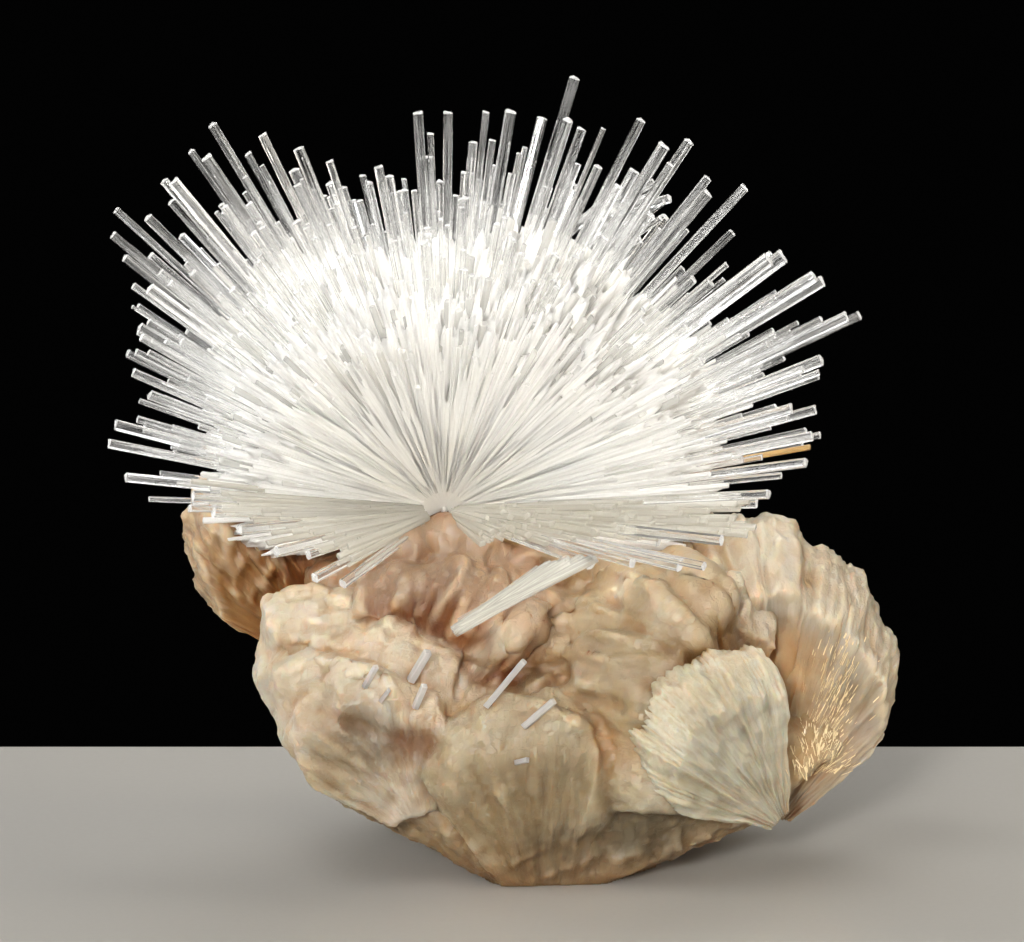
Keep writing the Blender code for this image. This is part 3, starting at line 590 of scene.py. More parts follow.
def stilbite_sheaf(number, fan):
    """One sheaf: a block opened like a hand of cards, waved, toothed and swollen."""
    dress = DRESS[fan.name]
    block = divided_block(dress.cuts)
    across, through, up = points_of(block).T
    out = (up + 1) / 2
    place = (across + 1) / 2
    aim = np.array(Vector(fan.aim).normalized())
    side = np.cross(aim, fan.face)
    side /= np.linalg.norm(side)
    normal = np.cross(side, aim)
    draw = random.Random(number)
    columns = 2 * fan.blades + 1
    uneven = [[draw.uniform(-FAN_UNEVEN, FAN_UNEVEN) for _ in range(2 * fan.layers + 1)]
              for _ in range(columns)]
    shift = [draw.uniform(-BLADE_SHIFT, BLADE_SHIFT) / fan.blades for _ in range(columns)]
    furrow = [draw.uniform(*RIDGE_RANGE) * (column % 2 == 0) for column in range(columns)]
    uneven = along_list([sum(row) / len(row) for row in uneven], place)
    shift = along_list(shift, place)
    furrow = along_list(furrow, place) * dress.furrow

    # The outer end: soft waves, and blades that end in teeth and at random steps.
    flat = np.stack([across, through * fan.depth / fan.spread, out * 0], 1) * 2.4 + number * 7.3
    bend = fractal(flat, 1.6)
    wave = fractal(flat * (dress.waves / 2.4), 1.0, 2)
    tooth = across * dress.teeth / 2 + 1.8 * bend
    steps = np.array([draw.uniform(-1, 1) ** 3 for _ in range(END_STEPS)])
    step = steps[np.floor(tooth).astype(int) + END_STEPS // 2]
    step += steps[np.floor(tooth / 5).astype(int) + END_STEPS // 4]
    tooth = 1 - np.abs(np.sin(math.pi * tooth))
    outer = smoothstep(0.15, 1.0, out)
    length = along_list(fan.reach, place) * (1 + uneven)
    length *= 1 - fan.tooth * furrow - FAN_ROUNDING * through * through
    length -= outer * dress.tooth * (0.4 * tooth + 0.5 * step + 0.3)
    length += outer * dress.wave * (wave - 0.3)

    # The blades' flat sides swell softly and carry the furrows between blades.
    skin = np.stack([across * 2.2, through, out * 1.3], 1) + number * 3.1
    swell = fractal(skin, 1.1) * dress.swell * out
    grooves = 0.12 * tooth * np.abs(through) * np.sqrt(out)
    turn = np.radians(fan.spread) * (across + shift)
    lift = np.radians(fan.depth) * through * (1 - fan.ridge * furrow)
    lift += (swell - np.sign(through) * grooves) / np.maximum(length * out, 6)
    ray = np.cos(lift)[:, None] * (np.cos(turn)[:, None] * aim + np.sin(turn)[:, None] * side)
    ray += np.sin(lift)[:, None] * normal
    foot = np.array(fan.hinge) + (fan.root[0] * across)[:, None] * side
    foot += (fan.root[1] * through)[:, None] * normal
    put_points(block, (foot + ray * (length * out)[:, None]) * MM)
    face_outward(block)
    smooth(block)
    grain = np.stack([across * math.radians(fan.spread) * 30, through * 6, length * out], 1)
    keep(block, "grain", grain + number * 11)
    keep(block, "rim", out * (1 - 0.12 * through * through))
    keep(block, "rough", np.full(len(out), SHEAF_ROUGHNESS))
    keep_tints(block, dress.tints)
    return block


def roughen(piece):
    """Fine lumps over a piece, drawn out along its blades, and lines along them."""
    points = points_of(piece) / MM
    fine = 0.35 * crested(recall(piece, "grain") / (2.2, 2.2, 13)) + 0.3 * fractal(points, 3)
    fine += 0.45 * fractal(points, 11, 2)
    push_out(piece, fine, 2)


def broken_heart():
    """The broken rock between the sheaves: a hull of its corners."""
    heart = fresh("heart", HEART, [])
    edit(heart, bpy.ops.mesh.convex_hull)
    return heart


def lumps():
    """The lumps that the root stands on and that fill the recess."""
    bpy.ops.mesh.primitive_ico_sphere_add(subdivisions=2, radius=1)
    ball = bpy.context.object
    shape = points_of(ball)
    points, faces = [], []
    for number, (*centre, radius) in enumerate(LUMPS):
        points.append(shape * radius + centre)
        faces.extend(faces_of(ball, number * len(shape)))
    bpy.data.objects.remove(ball)
    return fresh("lumps", np.concatenate(points), faces)


def on_surface(surface, px, py):
    """The point of a surface that is seen at a pixel, and its normal."""
    eye = (CAMERA_TARGET + CAMERA_BACK * CAMERA_DISTANCE) / MM
    scale = CAMERA_DISTANCE / MM * SENSOR / LENS / FRAME_WIDTH
    seen = CAMERA_TARGET / MM + Vector((1, 0, 0)) * (px - FRAME_WIDTH / 2) * scale
    seen -= CAMERA_UP * (py - FRAME_HEIGHT / 2) * scale
    return surface.ray_cast(eye, (seen - eye).normalized())[:2]


def line_on_surface(surface, line, number):
    """Points of a surface that are seen along a line of pixels, which wavers a little."""
    places = []
    for (x1, y1), (x2, y2) in zip(line, line[1:]):
        steps = max(2, round(math.hypot(x2 - x1, y2 - y1) / LINE_STEP))
        places.extend((x1 + (x2 - x1) * i / steps, y1 + (y2 - y1) * i / steps)
                      for i in range(steps))
    seen = []
    for index, (px, py) in enumerate(places):
        py += LINE_WAVER * noise.noise(Vector((index * 0.12, number * 3.3, 2)))
        hit = on_surface(surface, px, py)[0]
        if hit is not None:
            seen.append(hit)
    return np.array(seen)


def raise_crests(piece, surface):
    """Raises crests and presses creases in the matrix along their lines."""
    points = points_of(piece) / MM
    relief = np.zeros(len(points))
    for number, (width, height, line) in enumerate(CRESTS):
        places = line_on_surface(surface, line, number)
        reach = 3 * width
        near = (points > places.min(axis=0) - reach) & (points < places.max(axis=0) + reach)
        chosen = np.flatnonzero(near.all(axis=1))
        far = np.linalg.norm(points[chosen][:, None] - places[None], axis=2)
        share = np.clip(far.argmin(axis=1) / len(places), 0.04, 0.96)
        taper = np.sqrt(np.sin(math.pi * share))
        relief[chosen] += height * taper * np.exp(-(far.min(axis=1) / width) ** 1.5)
    push_out(piece, relief)
    keep(piece, "relief", relief)


def gather(pieces):
    """The points of several pieces together, and what is kept for each of them."""
    kept = {name: np.concatenate([recall(piece, name) for piece in pieces])
            for name in ("grain", "rim", "rough", *TONES)}
    kept["points"] = np.concatenate([points_of(piece) / MM for piece in pieces])
    return kept


def melted_matrix(pieces, sources):
    """The broken rock, sheaves and lumps melted together in one body, which takes its grain and
    its tints from the nearest point of the sources."""
    only(pieces[0])
    for piece in pieces:
        piece.select_set(True)
    bpy.ops.object.join()
    body = pieces[0]
    remesh(body, BODY_GRAIN)
    body.modifiers.new("Smooth", "SMOOTH").iterations = BODY_SMOOTHING
    bpy.ops.object.modifier_apply(modifier="Smooth")
    tree = KDTree(len(sources["points"]))
    for index, point in enumerate(sources["points"]):
        tree.insert(point, index)
    tree.balance()
    points = points_of(body) / MM
    nearest = np.array([tree.find(p)[1] for p in points])
    broken = BREAK_DEPTH * (1.2 - ridged(points, BREAK_SIZE)) - 0.2
    push_out(body, broken * sources["rough"][nearest], 4, FOOT_HEIGHT)
    keep(body, "grain", sources["grain"][nearest])
    for name, rounds in (("rim", 6), ("pale", 12), ("warm", 12)):
        keep(body, name, spread_out(body, sources[name][nearest], rounds))
    roughen(body)
    smooth(body)
    return body


def keep_crests(obj):
    """Keeps how far each point stands out around it, for the painted highlight on crests and the
    painted shade in creases.
    """
    points = points_of(obj) / MM
    crest = ((points - spread_out(obj, points, 8)) * normals_of(obj)).sum(axis=1)
    if "relief" in obj.data.attributes:
        crest += RELIEF_SHARE * recall(obj, "relief")
    keep(obj, "crest", spread_out(obj, crest, 2))


def nearness(piece, surface, place, radius, core):
    """1 for points around the one that is seen at a pixel, as far as this share of the radius,
    then less and less, and 0 beyond the radius."""
    centre = np.array(on_surface(surface, *place)[0])
    far = np.linalg.norm(points_of(piece) / MM - centre, axis=1)
    return 1 - smoothstep(core, 1, far / radius)


def patch(pieces, surface):
    """Tints and raises or presses parts of the matrix."""
    for place, radius, tint, strength, push in PATCHES:
        for piece in pieces:
            near = nearness(piece, surface, place, radius, 0.25)
            push_out(piece, near * push)
            for tone, code in zip(TONES, TINTS[tint]):
                old = recall(piece, tone)
                keep(piece, tone, old + (linear(code) - old) * (near * strength)[:, None])


def ripple(piece, surface):
    """Presses ripples in parts of the matrix."""
    for place, radius, steepness, run, pitch, depth in RIPPLES:
        relief = nearness(piece, surface, place, radius, 0.45)
        chosen = np.flatnonzero(relief)
        x, y, z = (points_of(piece)[chosen] / MM).T
        turn = math.radians(steepness)
        along = (math.cos(turn) * x + math.sin(turn) * z) / run
        across = (math.cos(turn) * z - math.sin(turn) * x) / pitch
        relief[chosen] *= crested(np.stack([along, across, y / (2.5 * pitch)], 1)) * depth
        push_out(piece, relief, 2)


def glints(surface):
    """Cleavage slivers on the right sheaf's flank: their pale gold colour paints glints that flash
    gold.
    """
    draw = random.Random(17)
    top_left, top_right, low_right, low_left = [Vector(corner) for corner in GLINT_BAND]
    hinge = Vector(FANS[0].hinge)
    slivers = []
    while len(slivers) < GLINT_COUNT:
        across, down = draw.gauss(0.5, 0.26), draw.random() ** 0.7
        place = top_left.lerp(top_right, across).lerp(low_left.lerp(low_right, across), down)
        hit, normal = on_surface(surface, *place)
        if hit is None:
            continue
        along = hit - hinge
        along = (along - along.dot(normal) * normal).normalized()
        along = (along + normal * draw.uniform(*GLINT_TILTS)).normalized()
        half = along * draw.uniform(*GLINT_LENGTHS) / 2
        middle = hit + normal * draw.uniform(*GLINT_HEIGHTS)
        slivers.append((middle - half, middle + half, draw.uniform(*GLINT_WIDTHS)))
    made = copies(blank(*SLIVER), slivers, draw, slant=0.6, flat=(1.3, 2.2))
    return settle(made, "stilbite_glint_slivers")


def stilbite_matrix():
    """The whole matrix: the melted body, and the sheaves that keep sharp edges."""
    sheaves = {fan.name: stilbite_sheaf(number, fan) for number, fan in enumerate(FANS)}
    melting = [sheaves.pop(name) for name, dress in DRESS.items() if dress.melts]
    heart = broken_heart()
    rock = broken_heart()
    remesh(rock, ROCK_GRAIN)
    keep(rock, "grain", points_of(rock) / MM)
    keep(rock, "rim", np.zeros(len(rock.data.vertices)))
    keep(rock, "rough", np.ones(len(rock.data.vertices)))
    keep_tints(rock, "keel")
    sources = gather([rock, *melting])
    bpy.data.objects.remove(rock)
    body = melted_matrix([heart, *melting, lumps()], sources)
    raise_crests(body, surface_of([body]))
    surface = surface_of([body, sheaves["left_top"]])
    for piece in (body, sheaves["left_top"]):
        ripple(piece, surface)
    pieces = [settle(body, "stilbite_matrix_body")]
    for name, sheaf in sheaves.items():
        roughen(sheaf)
        pieces.append(settle(sheaf, "stilbite_sheaf_" + name))
    # The silky sheaf keeps its own tint and form.
    patch([piece for piece in pieces if piece != sheaves["silky"]], surface_of(pieces))
    for piece in pieces:
        keep_crests(piece)
    give(pieces, stilbite())
    slivers = glints(surface_of(pieces))
    give([slivers], glint_finish())
    for piece in [*pieces, slivers]:
        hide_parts("stilbite_matrix")
    return pieces


# Prisms

Blank = namedtuple("Blank", "points faces rise")


def blank(cut, inset, rise, rings=1):
    """One square prism from height 0 to 1, as points and faces to be copied: it has rings along
    it, its corners are cut and its end is bevelled."""
    bpy.ops.mesh.primitive_cylinder_add(vertices=4, radius=math.sqrt(0.5), depth=1,
                                        location=(0, 0, 0.5))
    prism = bpy.context.object
    only(prism)
    bpy.ops.object.transform_apply(location=True, rotation=True, scale=True)
    edit(prism, bpy.ops.mesh.bevel, "EDGE", edges_along(prism, 2), offset=cut, segments=1)
    edit(prism, bpy.ops.mesh.subdivide, "EDGE", edges_along(prism, 2), number_cuts=rings)
    top = [p.normal.z > 0.9 for p in prism.data.polygons]
    edit(prism, bpy.ops.mesh.inset, "FACE", top, thickness=inset, depth=rise)
    made = Blank(points_of(prism), faces_of(prism), rise)
    bpy.data.objects.remove(prism)
    return made


def copies(shape, needles, draw, slant=0.3, flat=(0.8, 1.2)):
    """One object of many copies of a blank, each with a slanted end and flatter one way than the
    other. Each needle is (foot, tip, width), in millimetres."""
    points, grain, faces = [], [], []
    for number, (foot, tip, width) in enumerate(needles):
        along = tip - foot
        turn = along.to_track_quat("Z", "Y").to_matrix()
        turn = turn @ Matrix.Rotation(draw.uniform(0, math.pi / 2), 3, "Z")
        ratio = draw.uniform(*flat)
        local = shape.points * (width * ratio, width / ratio, 1)
        height = local[:, 2]
        shaft = along.length - shape.rise * width
        tip_slant = slant * local[:, 0] * (height > 0.99)
        local[:, 2] = np.minimum(height, 1) * shaft + np.maximum(height - 1, 0) * width + tip_slant
        points.append(local @ np.array(turn).T + np.array(foot))
        grain.append(local + (number * 3.7, number * 1.3, number * 5.1))
        start = number * len(local)
        faces.extend(tuple(start + v for v in face) for face in shape.faces)
    made = fresh("copies", np.concatenate(points), faces)
    keep(made, "grain", np.concatenate(grain))
    return made


# Scolecite

def above_lowest(ray, dip=0):
    """How many degrees a direction lies above the lowest needles, which dip towards the front."""
    backness = (ray.y / max(math.hypot(ray.x, ray.y), 1e-6) + 1) / 2
    lowest = LOWEST_SIDE + (LOWEST_BACK - LOWEST_SIDE) * backness - dip * (1 - backness)
    return math.degrees(math.asin(max(-1, min(1, ray.z)))) - lowest


def behind_wall(ray):
    """How many degrees a direction lies behind the wall of the hollow."""
    return math.degrees(ray.angle(HOLLOW_AXIS)) - HOLLOW_HALF_ANGLE


def needle_reach(ray, blur=7):
    """How far needles reach this way: as the tall needles near it, but shorter at the front."""
    angles = np.degrees(np.arccos(np.clip(TIP_RAYS @ np.array(ray), -1, 1)))
    weights = np.exp(-((angles - angles.min()) / blur))
    reach = float((weights * TIP_LENGTHS).sum() / weights.sum())
    return reach * (1 - FRONT_SHORTENING * max(0.0, -ray[1]))


def hollow_ray(out, around):
    """The direction at this angle from the hollow's axis, and this way around it, in degrees."""
    out, around = math.radians(out), math.radians(around)
    ring = math.cos(around) * HOLLOW_UP + math.sin(around) * HOLLOW_ACROSS
    return (math.cos(out) * HOLLOW_AXIS.normalized() + math.sin(out) * ring).normalized()


def spray_core(surface):
    """The milky heart of the spray: a bowl of needles so close that they read as one body."""
    rings = CORE_RINGS[1:-1]
    points = []
    for turn in range(CORE_TURNS):
        around = math.radians(turn * 360 / CORE_TURNS)
        place = Vector((math.cos(around), math.sin(around), 0.1))
        comb = sum(noise.noise(place * fine) * depth for fine, depth in CORE_COMB)
        for out in rings:
            ray = hollow_ray(out, math.degrees(around))
            margin = min(out - HOLLOW_HALF_ANGLE, above_lowest(ray, CORE_DIP)) + comb
            bundle = sum(noise.noise(ray * fine) * depth for fine, depth in CORE_BUNDLES)
            far = needle_reach(ray) * (CORE_SHARE + bundle)
            length = CORE_FOOT + (far - CORE_FOOT) * float(smoothstep(-1, 6, margin)) ** 0.8
            below = surface.ray_cast(ROOT, ray, length)[3]
            if below is not None:
                length = max(below + 0.6, CORE_FOOT)
            points.append(ROOT + ray * length)
    points = np.array(points).reshape(CORE_TURNS, len(rings), 3).transpose(1, 0, 2).reshape(-1, 3)
    last = len(points) - CORE_TURNS
    points = points.tolist()
    points += [ROOT + hollow_ray(out, 0) * CORE_FOOT for out in (CORE_RINGS[0], CORE_RINGS[-1])]
    faces = []
    for turn in range(CORE_TURNS):
        following = (turn + 1) % CORE_TURNS
        for start in range(0, last, CORE_TURNS):
            a, b = start + turn, start + following
            faces.append((a, a + CORE_TURNS, b + CORE_TURNS, b))
        faces.append((len(points) - 2, turn, following))
        faces.append((len(points) - 1, last + following, last + turn))
    core = fresh("core", points, faces)
    face_outward(core)
    smooth(core)
    return settle(core, "scolecite_spray_core")


def free_needle(surface, ray, start, length, width):
    """A needle from start to length along a ray from the root, or None if the matrix is there."""
    foot, tip = ROOT + ray * start, ROOT + ray * length
    if tip.y > BACK_EDGE:
        return None
    first = ROOT + ray * FIRST_CHECKED
    if surface.ray_cast(first, ray, max(length - FIRST_CHECKED, 0.1))[0] is not None:
        return None
    if surface.find_nearest(tip)[3] < width * TIP_CLEARANCE:
        return None
    return foot, tip, width


def grown(surface, count, propose):
    """This many needles that find room outside the matrix, out of those that are proposed."""
    made = []
    while len(made) < count:
        needle = free_needle(surface, *propose())
        if needle:
            made.append(needle)
    return made


def any_ray(draw):
    """A direction in which scolecite grew from the root, evenly spread."""
    while True:
        ray = Vector([draw.uniform(-1, 1) for _ in range(3)])
        if 0.05 < ray.length < 1:
            ray.normalize()
            if above_lowest(ray) >= 0 and behind_wall(ray) > 0:
                return ray


def dome_needles(surface, draw, count, shares, widths, start, depth):
    """Needles all over the spray."""
    def propose():
        ray = any_ray(draw)
        while behind_wall(ray) < depth:
            ray = any_ray(draw)
        length = needle_reach(ray, 4) * draw.uniform(*shares)
        return ray, start * length, length, draw.uniform(*widths)
    return grown(surface, count, propose)


def wall_needles(surface, draw, count, start, shares, widths, lifts, turns):
    """Needles that lie along the wall of the hollow."""
    def propose():
        ray = hollow_ray(HOLLOW_HALF_ANGLE + draw.uniform(*lifts), draw.uniform(*turns))
        length = needle_reach(ray) * draw.uniform(*shares)
        return ray, start, length, draw.uniform(*widths)
    return grown(surface, count, propose)


def apron_needles(surface, draw):
    """Needles along the spray's lower edge, which lie low over the matrix."""
    def propose():
        share = draw.random()
        near, far = APRON_RIGHT if draw.random() < APRON_RIGHT_SHARE else APRON_LEFT
        off = Vector((0, draw.uniform(*APRON_BEHIND), draw.uniform(*APRON_ABOVE)))
        tip = (near.lerp(far, share) + off) * draw.uniform(*APRON_REACH)
        return tip.normalized(), APRON_START, tip.length, draw.uniform(*APRON_WIDTHS)
    return grown(surface, APRON_COUNT, propose)


def standing_needle(x, y, z, width):
    """A needle whose tip is here from the root; its foot is hidden in the heart."""
    tip = Vector((x, y, z))
    return ROOT + tip * 0.3, ROOT + tip, width


def end_caps(needles):
    """A short cap over the end of each clear needle."""
    caps = []
    for foot, tip, width in needles:
        along = (tip - foot).normalized()
        caps.append((tip - along * 0.22 * width, tip + along * 0.01 * width, width * 1.02))
    return caps


def jumble(draw):
    """Loose-looking needles that cross the others behind the crown, right of the middle."""
    made = []
    for _ in range(JUMBLE_COUNT):
        middle = Vector([draw.uniform(*side) for side in JUMBLE_BOX])
        run = Vector([draw.uniform(*side) for side in JUMBLE_RUNS])
        half = run.normalized() * draw.uniform(*JUMBLE_HALVES)
        made.append((middle - half, middle + half, draw.uniform(*JUMBLE_WIDTHS)))
    return made


def scolecite_spray(surface):
    """Every piece of the big spray."""
    draw = random.Random(3)
    prism = blank(*PRISM, rings=4)
    tall = [standing_needle(*tip, width * SLIMNESS) for *tip, width in TALL_NEEDLES]
    clear = tall + dome_needles(surface, draw, *CLEAR_NEEDLES) + jumble(draw)
    kinds = {
        "clear": clear,
        "frosted": dome_needles(surface, draw, *FROSTED_NEEDLES),
        "milky": dome_needles(surface, draw, *MILKY_NEEDLES),
        "wall": wall_needles(surface, draw, *WALL_NEEDLES),
        "apron": apron_needles(surface, draw),
    }
    made = {"core": spray_core(surface)}
    for kind, needles in kinds.items():
        piece = copies(prism, needles, random.Random(5))
        made[kind] = settle(piece, f"scolecite_{kind}_needles")
    ends = copies(blank(*PRISM), end_caps(clear), random.Random(5), slant=0)
    made["ends"] = settle(ends, "scolecite_needle_ends")
    stained = copies(prism, [standing_needle(*STAINED_NEEDLE)], draw)
    made["stained"] = settle(stained, "scolecite_stained_needle")
    for kind, piece in made.items():
        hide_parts("scolecite_spray")
        # Light goes through the needles, so they leave no shadow; only the milky heart does.
        piece.visible_shadow = kind == "core"
    return made


def seat_on(surface, place, offset):
    """The point just off the matrix at this place seen from the front (x, z)."""
    hit, normal, _, _ = surface.ray_cast(Vector((place[0], -100, place[1])), Vector((0, 1, 0)))
    return hit + normal * offset


def side_sheaf(surface):
    """The small sheaf in front: thin blades that spread a little from one foot."""
    draw = random.Random(9)
    foot = seat_on(surface, SHEAF_SEAT, 0.6)
    along = SHEAF_RUN.normalized()
    across = along.cross(Vector((0, -1, 0))).normalized()
    blades = []
    for number in range(SHEAF_BLADES):
        share = number / (SHEAF_BLADES - 1)
        swing = math.radians(SHEAF_SPREAD / 2) * (2 * share - 1)
        length = SHEAF_RUN.length * (1.03 - 0.3 * share) * draw.uniform(0.93, 1.0)
        ray = math.cos(swing) * along - math.sin(swing) * across
        start = foot + across * draw.uniform(-0.4, 0.4) + ray * draw.uniform(*SHEAF_STARTS)
        blades.append((start, foot + ray * length, draw.uniform(*SHEAF_WIDTHS)))
    made = copies(blank(*BLADE), blades, draw, slant=0.5, flat=(0.55, 0.8))
    settle(made, "scolecite_sheaf_blades")
    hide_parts("scolecite_side_sheaf")
    made.visible_shadow = False
    return made


def single_needles(surface):
    """The short single prisms on the face of the matrix."""
    draw = random.Random(13)
    prism = blank(*SHORT_PRISM)
    made = []
    for number, (place, run, width) in enumerate(SINGLE_NEEDLES, 1):
        foot = seat_on(surface, place, width * 0.3)
        piece = copies(prism, [(foot, foot + Vector(run), width)], draw)
        settle(piece, f"scolecite_short_prism_{number}")
        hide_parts(f"scolecite_needle_{number}")
        made.append(piece)
    return made


# Finishes

def fill(node, inputs):
    """Fills the inputs of a node with values, or links them to the outputs that are given."""
    for key, value in dict(inputs).items():
        if isinstance(value, bpy.types.NodeSocket):
            node.id_data.links.new(value, node.inputs[key])
        else:
            node.inputs[key].default_value = value


def add_node(tree, kind, inputs=(), output=0, **settings):
    """Adds a node, sets it up, fills its inputs with values or links, and returns one output."""
    made = tree.nodes.new("ShaderNode" + kind)
    set_all(made, **settings)
    fill(made, inputs)
    return made.outputs[output]


def new_finish(name):
    """A new material, what adds nodes to it, and its shader."""
    material = bpy.data.materials.new(name)
    material.use_nodes = True
    tree = material.node_tree
    return material, partial(add_node, tree), tree.nodes["Principled BSDF"]


def give(pieces, material):
    """Gives pieces this material and no other."""
    for piece in pieces:
        piece.data.materials.clear()
        piece.data.materials.append(material)


# Stilbite's blades: pitch and run of their streaks. Then flakes of split blades: width,
# thickness and length, and how much each is tilted.
BLADE_PITCH = 0.7
BLADE_RUN = 12
FLAKE_SIZE = (0.6, 0.6, 3.5)
FLAKE_TILT = 0.42


def stilbite():
    """Stilbite, a zeolite grown as sheaves of thin blades: waxy and pearly, light seeps into it,
    cream at the blades' edges and warmer where it is thick, with a painted highlight on crests and
    painted shade, a deeper orange, in creases and recesses."""
    material, add, shader = new_finish("stilbite_waxy_sheaves")
    grain = add("Attribute", output="Vector", attribute_name="grain")
    rim, crest = [add("Attribute", output="Fac", attribute_name=n) for n in ("rim", "crest")]
    pale, warm = [add("Attribute", output="Color", attribute_name=n) for n in TONES]
    place = add("TexCoord", output="Object")
    drawn = add("Mapping", {"Vector": grain, "Scale": (
        1 / BLADE_PITCH, 1 / BLADE_PITCH, 1 / BLADE_RUN)})
    streaks = add("TexNoise", {"Vector": drawn, "Scale": 1, "Detail": 5, "Roughness": 0.62})
    clouds = add("TexNoise", {"Vector": place, "Scale": 1 / (11 * MM), "Detail": 4,
                              "Distortion": 0.8})
    broad = add("Mapping", {"Vector": drawn, "Scale": (0.28, 0.28, 0.6)})
    bundles = add("TexNoise", {"Vector": broad, "Scale": 1, "Detail": 3, "Distortion": 0.5})
    share = add("Math", {0: streaks, 1: 0.4, 2: clouds}, operation="MULTIPLY_ADD")
    share = add("Math", {0: bundles, 1: 0.5, 2: share}, operation="MULTIPLY_ADD")
    share = add("MapRange", {"Value": share, "From Min": 0.72, "From Max": 1.18})
    colour = add("Mix", {0: share, 6: warm, 7: pale}, 2, data_type="RGBA")
    # Thin edges look paler, partly in their own right and partly as light let through; crests get a
    # painted highlight of cream.
    edge = add("MapRange", {"Value": rim, "From Min": 0.75, "From Max": 1, "To Max": 0.3})
    high = add("MapRange", {"Value": crest, "From Min": 0.02, "From Max": 0.45, "To Max": 0.38})
    light = add("Math", {0: edge, 1: high}, operation="MAXIMUM")
    colour = add("Mix", {0: light, 6: colour, 7: linear("#E4DAC0")}, 2, data_type="RGBA")
    # Painted shade: creases, and by ambient occlusion the recesses and what lies under the spray, turn
    # a deeper orange, which those recesses partly have in their own right.
    low = add("MapRange", {"Value": crest, "From Min": -0.02, "From Max": -0.35, "To Max": 0.6})
    open_share = add("AmbientOcclusion", {"Distance": 12 * MM}, "AO", samples=4)
    shade = add("MapRange", {"Value": open_share, "From Min": 0.2, "From Max": 0.85,
                             "To Min": 0.9, "To Max": 0})
    painted_shade_share = add("Math", {0: low, 1: shade}, operation="MAXIMUM")
    deep = add("Mix", {0: 1, 6: colour, 7: linear("#E3BC93")}, 2, data_type="RGBA",
               blend_type="MULTIPLY")
    colour = add("Mix", {0: painted_shade_share, 6: colour, 7: deep}, 2, data_type="RGBA")
    rough = add("MapRange", {"Value": streaks, "To Min": 0.25, "To Max": 0.6})
    fine = add("TexNoise", {"Vector": place, "Scale": 1 / (0.9 * MM), "Detail": 3})
    height = add("Math", {0: fine, 1: 0.3, 2: streaks}, operation="MULTIPLY_ADD")
    height = add("Math", {0: bundles, 1: 0.8, 2: height}, operation="MULTIPLY_ADD")
    bump = add("Bump", {"Height": height, "Strength": 0.6, "Distance": 0.5 * MM})
    split = add("Mapping", {"Vector": grain, "Scale": [1 / v for v in FLAKE_SIZE]})
    flakes = add("TexVoronoi", {"Vector": split, "Scale": 1}, "Color")
    tilt = add("VectorMath", {0: flakes, 1: (0.5,) * 3}, operation="SUBTRACT")
    tilt = add("VectorMath", {0: tilt, 1: (FLAKE_TILT,) * 3, 2: bump}, operation="MULTIPLY_ADD")
    bump = add("VectorMath", {0: tilt}, operation="NORMALIZE")
    fill(shader, {"Base Color": colour, "Roughness": rough, "Normal": bump, "IOR": 1.5,
                  "Subsurface Weight": 0.7, "Subsurface Radius": (1, 0.6, 0.35),
                  "Subsurface Scale": 3.8 * MM})
    return material


def glint_finish():
    """Painted glints: fresh split faces of stilbite, painted a pale pearly gold that flashes under any
    lamp.
    """
    material, _, shader = new_finish("stilbite_painted_glints")
    fill(shader, {"Base Color": linear("#F4E0B4"), "Roughness": 0.12, "IOR": 1.6,
                  "Coat Weight": 0.6})
    return material


# Scolecite by piece of the scene: name, transmission, roughness, colour and, where the crystal is
# clear, how much it absorbs in a metre.
SCOLECITE = {
    "clear": ("scolecite_clear", 1.0, 0.03, "#FDFDFC", 25.0),
    "frosted": ("scolecite_frosted", 0.42, 0.22, "#C8C7C2"),
    "milky": ("scolecite_milky", 0.0, 0.42, "#C4C2BC"),
    "apron": ("scolecite_shaded", 0.15, 0.25, "#B2AEA2"),
    "ends": ("scolecite_etched_ends", 0.6, 0.25, "#FFFFFF"),
    "stained": ("scolecite_iron_stained", 0.4, 0.2, "#C29A63"),
    "blades": ("scolecite_pale_blades", 0.82, 0.08, "#EAE9E3"),
    "prisms": ("scolecite_bright_prisms", 0.45, 0.08, "#FFFFFF"),
}


def scolecite(name, transmission, roughness, colour, absorption=0.0):
    """Scolecite, glass-clear needles that turn milky where they grow close: fine lines run
    along each prism, and hazy streaks in it."""
    material, add, shader = new_finish(name)
    grain = add("Attribute", output="Vector", attribute_name="grain")
    drawn = add("Mapping", {"Vector": grain, "Scale": (5, 5, 0.12)})
    lines = add("TexNoise", {"Vector": drawn, "Scale": 1, "Detail": 2})
    bump = add("Bump", {"Height": lines, "Strength": 0.2, "Distance": 0.12 * MM})
    fill(shader, {"Normal": bump, "Base Color": linear(colour), "Roughness": roughness,
                  "IOR": 1.515})
    if transmission < 0.9:
        fill(shader, {"Subsurface Weight": 0.8, "Subsurface Radius": (1, 1, 1),
                      "Subsurface Scale": 5 * MM})
    if transmission:
        clear = add("MapRange", {"Value": lines, "From Min": 0.42, "From Max": 0.62,
                                 "To Min": transmission, "To Max": transmission * 0.86})
        fill(shader, {"Transmission Weight": clear})
    if absorption:
        haze = add("VolumeAbsorption", {"Color": linear("#E9EDEA"), "Density": absorption})
        fill(material.node_tree.nodes["Material Output"], {"Volume": haze})
    return material


